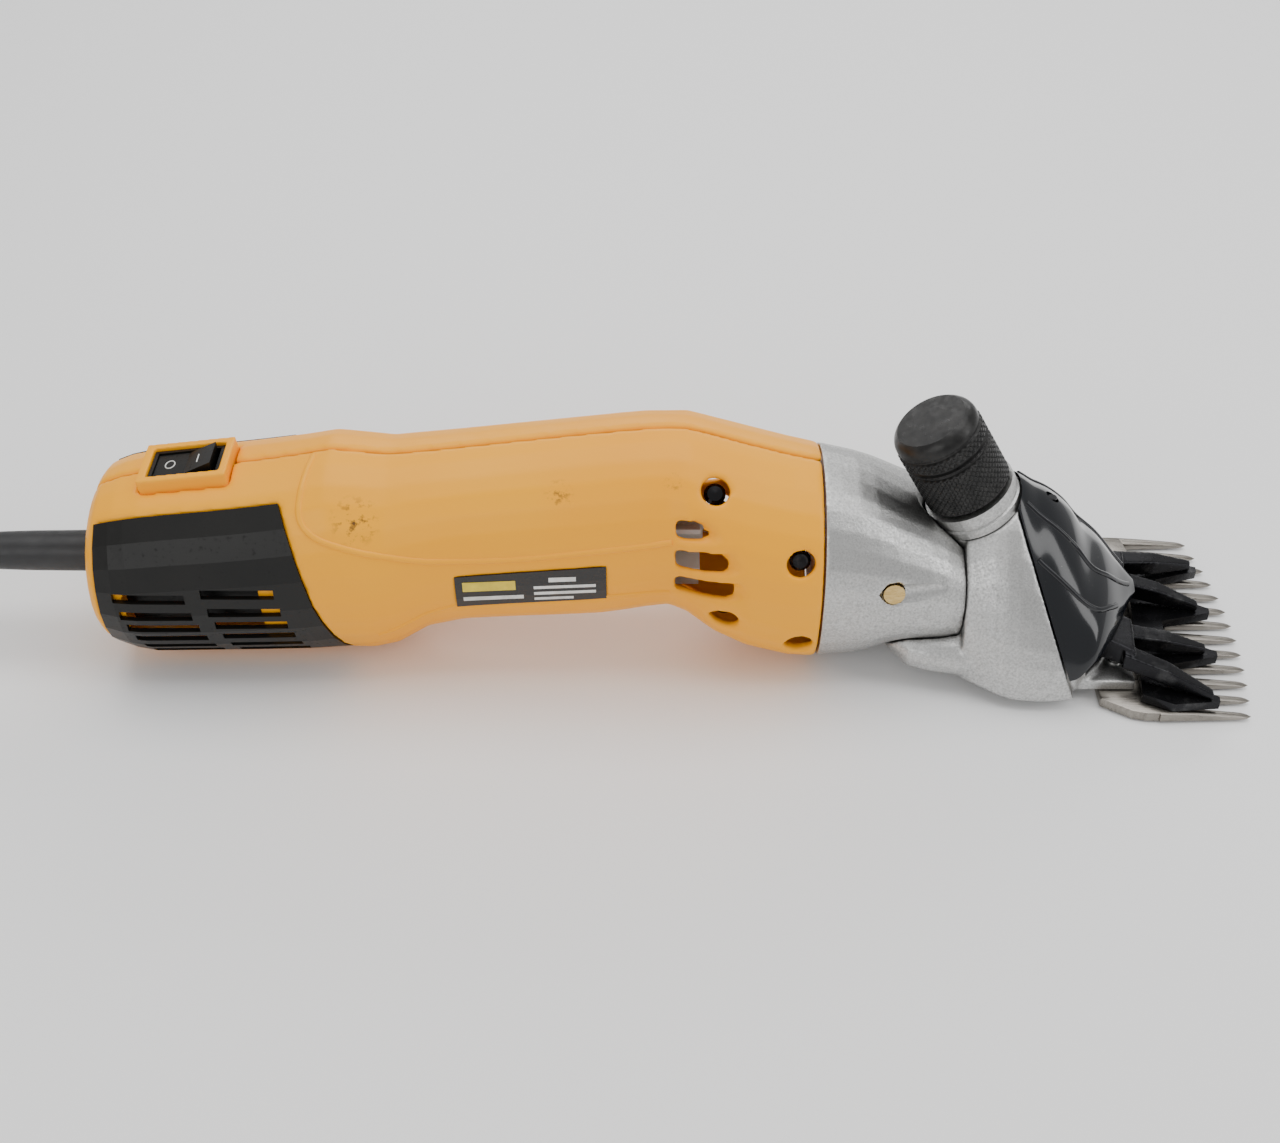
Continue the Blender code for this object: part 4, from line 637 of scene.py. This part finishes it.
def knob_profile(along):
    """Radius of the knob and how deep its knurl is, at a height above its lower face."""
    cap_start = KNOB_LENGTH - CAP_LENGTH
    radius, knurl = KNOB_RADIUS - 0.0001, 1.0
    if along > cap_start:
        knurl = 0.0
        rise = (along - cap_start) / CAP_LENGTH
        radius = KNOB_RADIUS - 0.0004 - CAP_ROUNDING * rise**3
    for groove in GROOVES:
        near = abs(along - (KNOB_LENGTH - groove))
        if near < GROOVE_HALF:
            radius -= GROOVE_DEPTH * (1 - (near / GROOVE_HALF) ** 4)
            knurl = 0.0
    if along < KNOB_CHAMFER:
        radius -= KNOB_CHAMFER - along
        knurl = 0.0
    return radius, knurl


def make_knob():
    rows = 150
    columns = 8 * KNURLS
    turns = [2 * math.pi * column / columns for column in range(columns)]
    draft = bmesh.new()
    grid = []
    for row in range(rows + 1):
        along = KNOB_LENGTH * row / rows
        radius, knurl = knob_profile(along)
        line = []
        for turn in turns:
            phase = KNURLS * turn
            climb = KNURLS * along / KNOB_RADIUS
            ridge = abs(math.sin((phase + climb) / 2)) * abs(math.sin((phase - climb) / 2))
            here = radius - knurl * KNURL_DEPTH * (1 - 2 * min(ridge, 0.5))
            line.append(draft.verts.new((here * math.cos(turn), here * math.sin(turn), along)))
        grid.append(line)
    cap_radius = knob_profile(KNOB_LENGTH)[0]
    for share in (0.985, 0.96, 0.90, 0.5):
        here = cap_radius * share
        height = KNOB_LENGTH + 0.00012 * (1 - share)
        grid.append([draft.verts.new((here * math.cos(turn), here * math.sin(turn), height))
                     for turn in turns])
    for first, second in zip(grid, grid[1:]):
        bridge(draft, first, second)
    draft.faces.new(grid[-1])
    draft.faces.new(grid[0][::-1])
    start = knob_middle - knob_axis * (KNOB_LENGTH / 2)
    place = Matrix.Translation(start) @ Matrix.Rotation(KNOB_TILT, 4, "Y")
    bmesh.ops.transform(draft, matrix=place, verts=draft.verts)
    return from_bmesh("knurled_knob", draft, smooth_angle=32)


ride(make_knob(), "tension_knob", FINISH["knob_black"], ("tension_knob",))
print("knob:", round(KNOB_LENGTH, 4), "m long, radius", round(KNOB_RADIUS, 4))

# %% [markdown]
# ## Comb
# The comb is a ground plate with thirteen long teeth.  Each tooth is thick at its root and
# thins to a rounded point that bends up a little, so that it glides on skin.  Geometry Nodes
# sets one tooth on thirteen points of a shallow arc.

# %% Comb tooth and plate
comb_low, comb_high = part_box("comb")
COMB_HALF = 0.0380
COMB_TEETH = 13
COMB_THICK = 0.0032
ROOT_X = comb_high[0] - 0.0220
COMB_SAG = 0.0045             # how far the outer teeth stand back from the middle one
TOOTH_OVERLAP = 0.0040        # the part of a tooth that lies in the plate
TOOTH_HALF = 0.00185
TOOTH_CORNERS = 12
TIP_SHARE = 0.14              # share of the tooth that is its rounded point
TIP_LIFT = 0.00035


def squared(value, power):
    """A sine or cosine made fuller, which turns a circle into a rounded box."""
    return math.copysign(abs(value) ** power, value)


def comb_tooth():
    """One tooth along +X from its root; the last part narrows and rises."""
    rings = []
    length = comb_high[0] - ROOT_X + TOOTH_OVERLAP
    turns = [2 * math.pi * corner / TOOTH_CORNERS for corner in range(TOOTH_CORNERS)]
    for step in range(25):
        share = step / 24
        x = -TOOTH_OVERLAP + length * share
        half = TOOTH_HALF * (1 - 0.48 * share)
        high = COMB_THICK * (1 - 0.62 * share**1.6)
        low = 0.0
        if share > 1 - TIP_SHARE:
            end = (share - 1 + TIP_SHARE) / TIP_SHARE
            shrink = math.sqrt(max(0.0, 1 - end * end * 0.985))
            half *= shrink
            middle = high * 0.45
            high = middle + (high - middle) * shrink
            low = middle * (1 - shrink)
        low += TIP_LIFT * share**3
        centre, rise = (low + high) / 2, (high - low) / 2
        rings.append([(x, half * squared(math.cos(turn), 0.55),
                       centre + rise * squared(math.sin(turn), 0.5)) for turn in turns])
    return ring_loft("comb_tooth", rings, smooth_angle=50)


# %% Comb node tree
def comb_nodes(tooth):
    """A tree that stands the tooth on a row of points which lie on an arc."""
    tree = bpy.data.node_groups.new("comb teeth", "GeometryNodeTree")
    face = tree.interface
    face.new_socket("Geometry", in_out="INPUT", socket_type="NodeSocketGeometry")
    sockets = {}
    for name, kind, value in (("Teeth", "NodeSocketInt", COMB_TEETH),
                              ("Half width", "NodeSocketFloat", COMB_HALF),
                              ("Root", "NodeSocketFloat", ROOT_X),
                              ("Sag", "NodeSocketFloat", COMB_SAG)):
        socket = face.new_socket(name, in_out="INPUT", socket_type=kind)
        socket.default_value = value
        sockets[name] = socket.identifier
    face.new_socket("Geometry", in_out="OUTPUT", socket_type="NodeSocketGeometry")
    node = tree.nodes.new
    link = tree.links.new
    given, result = node("NodeGroupInput"), node("NodeGroupOutput")

    def number_node(operation, first, second):
        """One arithmetic node; a number is set on its socket and an output is linked."""
        item = node("ShaderNodeMath")
        item.operation = operation
        link(first, item.inputs[0])
        if isinstance(second, float):
            item.inputs[1].default_value = second
        else:
            link(second, item.inputs[1])
        return item.outputs[0]

    line = node("GeometryNodeMeshLine")
    line.mode = "END_POINTS"
    low, high = node("ShaderNodeCombineXYZ"), node("ShaderNodeCombineXYZ")
    link(number_node("MULTIPLY", given.outputs["Half width"], -1.0), low.inputs["Y"])
    link(given.outputs["Half width"], high.inputs["Y"])
    link(given.outputs["Root"], low.inputs["X"])
    link(given.outputs["Root"], high.inputs["X"])
    link(given.outputs["Teeth"], line.inputs["Count"])
    link(low.outputs[0], line.inputs["Start Location"])
    link(high.outputs[0], line.inputs["Offset"])
    place = node("GeometryNodeInputPosition")
    parts = node("ShaderNodeSeparateXYZ")
    link(place.outputs[0], parts.inputs[0])
    share = number_node("DIVIDE", parts.outputs["Y"], given.outputs["Half width"])
    square = number_node("MULTIPLY", share, share)
    drop = number_node("MULTIPLY", square, given.outputs["Sag"])
    shift = node("ShaderNodeCombineXYZ")
    link(number_node("MULTIPLY", drop, -1.0), shift.inputs["X"])
    move = node("GeometryNodeSetPosition")
    link(line.outputs[0], move.inputs["Geometry"])
    link(shift.outputs[0], move.inputs["Offset"])
    source = node("GeometryNodeObjectInfo")
    source.inputs["Object"].default_value = tooth
    copies = node("GeometryNodeInstanceOnPoints")
    link(move.outputs[0], copies.inputs["Points"])
    link(source.outputs["Geometry"], copies.inputs["Instance"])
    solid = node("GeometryNodeRealizeInstances")
    link(copies.outputs[0], solid.inputs[0])
    finish = node("GeometryNodeSetMaterial")
    finish.inputs["Material"].default_value = FINISH["ground_steel"]
    link(solid.outputs[0], finish.inputs["Geometry"])
    link(finish.outputs[0], result.inputs[0])
    return tree, sockets


def grow(name, tree, sockets, values, smooth_angle=40):
    """Runs a Geometry Nodes tree on an empty mesh and keeps the plain mesh that it makes."""
    item = bpy.data.objects.new(name, bpy.data.meshes.new(name))
    scene.collection.objects.link(item)
    modifier = item.modifiers.new("grow", "NODES")
    modifier.node_group = tree
    for key, value in values.items():
        modifier[sockets[key]] = value
    return settle(item, smooth_angle)


# %% Comb teeth
tooth = comb_tooth()
tree, sockets = comb_nodes(tooth)
teeth = grow("comb_teeth", tree, sockets, {"Teeth": COMB_TEETH, "Half width": COMB_HALF})
bpy.data.objects.remove(tooth, do_unlink=True)


# %% Comb plate
def comb_plate():
    """The plate behind the teeth: its heel has cut corners, its front follows the arc."""
    heel = comb_low[0]
    half = COMB_HALF + 0.0012
    corner = [(heel + 0.012, half), (heel + 0.008, half - 0.001), (heel, half - 0.006)]
    outline = [(x, -y) for x, y in reversed(corner)]
    for step in range(25):
        y = -half + 2 * half * step / 24
        outline.append((ROOT_X + 0.0012 - COMB_SAG * (y / COMB_HALF) ** 2, y))
    outline += corner
    draft = bmesh.new()
    face = draft.faces.new([draft.verts.new((x, y, 0.0)) for x, y in outline])
    grown = bmesh.ops.extrude_face_region(draft, geom=[face])
    top = [item for item in grown["geom"] if isinstance(item, bmesh.types.BMVert)]
    bmesh.ops.translate(draft, verts=top, vec=(0, 0, COMB_THICK))
    return from_bmesh("comb_plate", draft)


plate = bevel(comb_plate(), 0.0004)
holes = []
for side in (-1, 1):
    # a plain hole near the teeth, then the way of the comb screw
    for radius, back, across in ((0.0019, 0.0155, 0.0290), (0.0022, 0.0060, 0.0200)):
        place = Matrix.Translation((comb_low[0] + back, side * across, 0))
        holes.append(drill("hole", radius, -0.01, 0.01, place))
boolean(plate, holes)
ride(plate, "handpiece", FINISH["ground_steel"])
ride(teeth, "handpiece", FINISH["ground_steel"], ("comb",))
print("comb:", len(teeth.data.polygons), "faces in its teeth")

# %% [markdown]
# ## Surface lines
# The grip is a raised panel with a soft rolled edge.  The edge is a thin bead that follows the
# shell: every point of its route is dropped onto the housing towards the middle of the body.

# %% Bead on the grip
shell_tree = shell_of("housing_right")


GRIP_AXIS_Z = 0.040
OUTSIDE = 0.09                # a distance from the axis that is well clear of the shell


def dropped(points, sink):
    """The points moved onto the shell along lines towards the axis of the grip."""
    route = []
    for point in smooth_way(points, 0.0012):
        middle = Vector((point[0], 0.0, GRIP_AXIS_Z))
        away = (Vector(point) - middle).normalized()
        hit, normal, _, _ = shell_tree.ray_cast(middle + away * OUTSIDE, -away)
        if hit is not None:
            route.append(hit - normal * sink)
    return route


GRIP_EDGE = ((-0.1010, -0.002, 0.064), (-0.1030, -0.012, 0.063), (-0.1035, -0.020, 0.058),
             (-0.1000, -0.0245, 0.0545), (-0.0930, -0.0260, 0.0515), (-0.0808, -0.0262, 0.0480),
             (-0.0660, -0.0262, 0.0462), (-0.0450, -0.0262, 0.0470), (-0.0227, -0.0262, 0.0500),
             (-0.0100, -0.0262, 0.0520), (-0.0035, -0.0262, 0.0535))
LOWER_EDGE = ((-0.0851, -0.026, 0.0165), (-0.0760, -0.026, 0.0215), (-0.0680, -0.026, 0.0262),
              (-0.0580, -0.026, 0.0285), (-0.0300, -0.026, 0.0305), (-0.0040, -0.026, 0.0330))
for number, (route, thick) in enumerate(((GRIP_EDGE, 0.0011), (LOWER_EDGE, 0.0009))):
    bead = tube("grip_bead_%d" % number, dropped(route, thick * 0.55), thick, sides=12)
    ride(bead, "handpiece", FINISH["yellow_plastic"])
    print(bead.name, len(bead.data.polygons), "faces")

# %% [markdown]
# ## Dark sheets behind the grilles
# Behind each grille stands a thin black sheet. It is painted shade that makes the slots look dark
# where the inside of the shell lies in shadow.  It is part of a cylinder, a little inside the
# shell, and a plain grid of faces with some thickness is all that it needs.

# %% Screens
grille_low, grille_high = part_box("grille_right")
SCREEN_RADIUS = 0.0205
SCREEN_DEPTH = 0.0060         # behind the outer face of the shell
SCREEN_START_X = grille_low[0] + 0.006
SCREEN_LENGTH = grille_high[0] - grille_low[0] - 0.024
SCREEN_FROM, SCREEN_SPAN = 62, 60     # degrees from the top


def screen_grid(draft, side):
    """Rows of corners on a part of a cylinder that keeps inside the shell."""
    grid = []
    for column in range(25):
        middle = Vector((SCREEN_START_X + SCREEN_LENGTH * column / 24, 0.0, CORD_Z))
        row = []
        for step in range(17):
            turn = math.radians(SCREEN_FROM + SCREEN_SPAN * step / 16)
            away = Vector((0, -math.sin(turn), math.cos(turn)))
            hit, _, _, _ = shell_tree.ray_cast(middle + away * OUTSIDE, -away)
            radius = SCREEN_RADIUS
            if hit is not None:
                radius = min(radius, (hit - middle).length - SCREEN_DEPTH)
            point = middle + away * radius
            row.append(draft.verts.new((point.x, -side * point.y, point.z)))
        grid.append(row)
    return grid


for side, word in ((-1, "right"), (1, "left")):
    draft = bmesh.new()
    grid = screen_grid(draft, side)
    for first, second in zip(grid, grid[1:]):
        for step in range(len(first) - 1):
            draft.faces.new((first[step], first[step + 1], second[step + 1], second[step]))
    # a black sheet that paints the shade inside the grille slots
    screen = from_bmesh("dust_screen_" + word, draft)
    screen.modifiers.new("thick", "SOLIDIFY").thickness = 0.0005
    settle(screen)
    ride(screen, "handpiece", FINISH["black_plastic"])
    print(screen.name, len(screen.data.polygons), "faces")


# %% [markdown]
# ## Hood
# The hood is a thin die cast cover with gloss black paint.  Its skin is the frame's own arch
# drawn with finer steps, so that the paint reflects in long clean streaks, and it carries two
# raised ribs on each side that run from the rear towards the nose.

# %% Hood skin
ARCH_END = 0.0530
HEAD_REAR_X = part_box("hood")[1][0] - ARCH_END
HOOD_START = 0.0108
HOOD_WALL = 0.0022
# metres behind the rear face of the head, foot of the arch, top, half width, roundness
ARCH = (
    (0.0097, 0.0105, 0.0550, 0.0325, 1.60), (0.0135, 0.0105, 0.0563, 0.0340, 1.50),
    (0.0205, 0.0105, 0.0522, 0.0350, 1.50), (0.0250, 0.0108, 0.0496, 0.0350, 1.50),
    (0.0307, 0.0115, 0.0446, 0.0345, 1.50), (0.0363, 0.0158, 0.0368, 0.0318, 1.50),
    (0.0421, 0.0176, 0.0316, 0.0240, 1.50), (0.0475, 0.0176, 0.0252, 0.0140, 1.50),
    (0.0517, 0.0176, 0.0206, 0.0060, 1.60), (ARCH_END, 0.0176, 0.0192, 0.0040, 1.60),
)
ARCH_ROWS = np.array(ARCH)


def arch_row(offset):
    """The arch at one offset, through its rows on a curve without overshoot."""
    places = ARCH_ROWS[:, 0]
    values = ARCH_ROWS[:, 1:]
    slopes = np.diff(values, axis=0) / np.diff(places)[:, None]
    product = slopes[:-1] * slopes[1:]
    total = np.where(product > 0, slopes[:-1] + slopes[1:], 1.0)
    tangents = np.vstack([slopes[0], np.where(product > 0, 2 * product / total, 0.0), slopes[-1]])
    index = int(min(max(np.searchsorted(places, offset) - 1, 0), len(places) - 2))
    width = places[index + 1] - places[index]
    t = (offset - places[index]) / width
    value = values[index] * (2 * t**3 - 3 * t**2 + 1) + values[index + 1] * (3 * t**2 - 2 * t**3)
    return (value + width * tangents[index] * (t**3 - 2 * t**2 + t)
            + width * tangents[index + 1] * (t**3 - t**2))


def arch_point(offset, angle, inset=0.0):
    foot, top, half, roundness = arch_row(offset)
    across = math.copysign(abs(math.sin(angle)) ** (2 / roundness), math.sin(angle))
    upright = max(0.0, math.cos(angle)) ** (2 / roundness)
    return Vector((HEAD_REAR_X + offset, (half - inset) * across,
                   foot + (top - inset - foot) * upright))


def make_hood():
    across = 90
    angles = [-math.pi / 2 + math.pi * turn / across for turn in range(across + 1)]
    rings = []
    for step in range(71):
        offset = HOOD_START + (ARCH_END - HOOD_START) * step / 70
        outer = [arch_point(offset, angle) for angle in angles]
        inner = [arch_point(offset, angle, HOOD_WALL) for angle in reversed(angles)]
        rings.append(outer + inner)
    return ring_loft("hood_skin", rings, smooth_angle=40)


def slanted_block(low_x, high_x):
    """A block on one side of the plane where casting and hood meet."""
    bpy.ops.mesh.primitive_cube_add(size=1)
    block = bpy.context.object
    place = Matrix.Translation((HEAD_REAR_X + 0.0109, 0.0, 0.0580))
    place = place @ Matrix.Rotation(math.radians(-21), 4, "Y")
    place = place @ Matrix.Translation(((low_x + high_x) / 2, 0, -0.02))
    block.data.transform(place @ Matrix.Diagonal((high_x - low_x, 0.12, 0.16, 1.0)))
    return block


# %% Cut and ribbed hood
# where each rib starts and ends, and its angles from the top there
RIBS = ((0.016, 0.0500, 0.30, 0.62), (0.019, 0.0440, 0.66, 0.98))
COLLAR_WAY_RADIUS = 0.0136
SCREW_WAY_RADIUS = 0.0019

hood = make_hood()
collar_foot = knob_middle - knob_axis * (KNOB_LENGTH / 2 + 0.030)
collar_place = Matrix.Translation(collar_foot) @ Matrix.Rotation(KNOB_TILT, 4, "Y")
clearance = drill("clearance", COLLAR_WAY_RADIUS, 0.0, 0.06, collar_place, sides=72)
screw_low, screw_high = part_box("hood_screw")
screw_place = Matrix.Translation(((screw_low[0] + screw_high[0]) / 2, 0, screw_high[2]))
well = drill("well", SCREW_WAY_RADIUS, -0.02, 0.02, screw_place)
boolean(hood, [slanted_block(-0.06, 0.0004), clearance, well])
ribs = []
for side in (-1, 1):
    for start, end, first, last in RIBS:
        route = []
        for step in range(40):
            share = step / 39
            offset = start + (end - start) * share
            route.append(arch_point(offset, side * (first + (last - first) * share), 0.0004))
        ribs.append(tube("rib", route, 0.0009, sides=12))
boolean(hood, ribs, "UNION")
ride(hood, "handpiece", FINISH["gloss_black"], ("hood",))
print("hood:", len(hood.data.polygons), "faces")

# %% [markdown]
# ## Label and switch marks
# The label is a printed film with plain bars instead of words, each a thin patch laid on the
# film.  The rocker carries the usual on and off marks as raised lines.

# %% Label bars
label_low, label_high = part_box("label_plate")
label_tree = shell_of("label_plate")
ink = Shader("label ink", (0.75, 0.58, 0.04), 0.4)
ink.colour(ink.grained(300, 3, [(0.3, (0.62, 0.46, 0.03)), (0.7, (0.85, 0.66, 0.05))]))
white_ink = Shader("white ink", (0.75, 0.75, 0.72), 0.4)
white_ink.colour(white_ink.grained(300, 3, [(0.3, (0.60, 0.60, 0.57)), (0.7, (0.82, 0.82, 0.79))]))
LABEL_LEAN = 0.045            # rise of the printed lines along the film


def label_bar(name, left, right, top, bottom, material):
    """A printed bar: a thin patch laid on the label, in shares of its length and height."""
    columns = 8
    rings = []
    for column in range(columns + 1):
        share = left + (right - left) * column / columns
        x = label_low[0] + (label_high[0] - label_low[0]) * share
        lean = (x - (label_low[0] + label_high[0]) / 2) * LABEL_LEAN
        ring = []
        for height in (top, bottom):
            z = label_high[2] - (label_high[2] - label_low[2]) * height + lean
            start = Vector((x, label_low[1] - 0.02, z))
            hit, normal, _, _ = label_tree.ray_cast(start, Vector((0, 1, 0)))
            if hit is None:
                hit, normal = Vector((x, label_low[1], z)), Vector((0, -1, 0))
            ring += [hit + normal * 0.00004, hit + normal * 0.00010]
        top_in, top_out, low_in, low_out = ring
        rings.append([top_in, top_out, low_out, low_in])
    ride(ring_loft(name, rings), "handpiece", material)


BARS = ((0.05, 0.40, 0.30, 0.52, ink), (0.05, 0.45, 0.66, 0.76, white_ink),
        (0.62, 0.80, 0.26, 0.36, white_ink), (0.52, 0.93, 0.45, 0.52, white_ink),
        (0.52, 0.93, 0.60, 0.67, white_ink), (0.52, 0.78, 0.75, 0.82, white_ink))
for number, (left, right, top, bottom, stuff) in enumerate(BARS):
    label_bar("label_bar_%d" % number, left, right, top, bottom, stuff.material)
print("label:", len(BARS), "bars")

# %% Marks on the rocker
rocker_tree = shell_of("switch_rocker")
rocker_low, rocker_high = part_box("switch_rocker")
rocker_middle = (rocker_low[0] + rocker_high[0]) / 2
rocker_half = (rocker_high[0] - rocker_low[0]) / 2


def on_rocker(points):
    route = []
    for x, y in points:
        start = Vector((x, y, rocker_high[2] + 0.02))
        hit, normal, _, _ = rocker_tree.ray_cast(start, Vector((0, 0, -1)))
        if hit is not None:
            route.append(hit + normal * 0.00002)
    return route


off_x = rocker_middle - rocker_half * 0.52
circle = [(off_x + 0.0013 * math.cos(turn), 0.0017 * math.sin(turn))
          for turn in np.linspace(0, 2 * math.pi, 28)]
stroke = [(rocker_middle + rocker_half * 0.45, y) for y in np.linspace(-0.0018, 0.0018, 8)]
for name, points in (("mark_off", circle), ("mark_on", stroke)):
    mark = tube(name, on_rocker(points), 0.00018, sides=8)
    ride(mark, "switch_rocker", white_ink.material)
    print(name, len(mark.data.polygons), "faces")


# %% [markdown]
# ## Floor and light
# A pale floor, a large soft light from above, a weaker one from the front left, a strip on the
# right, and a strip behind that draws the highlight along the top of the body.

# %% Floor and lights
FLOOR_DROP = 0.0004
bpy.ops.mesh.primitive_plane_add(size=8, location=(0, 0, -FLOOR_DROP))
floor = bpy.context.object
floor.name = "floor"
floor.data.materials.append(Shader("floor paint", (0.90, 0.90, 0.90), 0.55).material)


def area_light(name, place, target, size, power):
    data = bpy.data.lights.new(name, "AREA")
    data.shape = "RECTANGLE"
    data.size, data.size_y = size
    data.energy = power
    lamp = bpy.data.objects.new(name, data)
    scene.collection.objects.link(lamp)
    lamp.location = place
    lamp.rotation_euler = (Vector(target) - Vector(place)).to_track_quat("-Z", "Y").to_euler()


area_light("top softbox", (0.0, 0.15, 1.10), (0.0, 0.0, 0.03), (1.2, 0.9), 9.0)
area_light("front fill", (-0.55, -0.95, 0.60), (0.0, 0.0, 0.03), (0.8, 0.6), 3.0)
area_light("right strip", (0.95, -0.25, 0.65), (0.05, 0.0, 0.03), (0.3, 0.9), 3.5)
area_light("back strip", (0.1, 0.95, 0.55), (0.0, 0.0, 0.04), (1.1, 0.25), 3.0)
world = bpy.data.worlds.new("studio")
world.use_nodes = True
background = world.node_tree.nodes["Background"].inputs
background["Color"].default_value = (1.0, 1.0, 1.0, 1.0)
background["Strength"].default_value = 0.60
scene.world = world
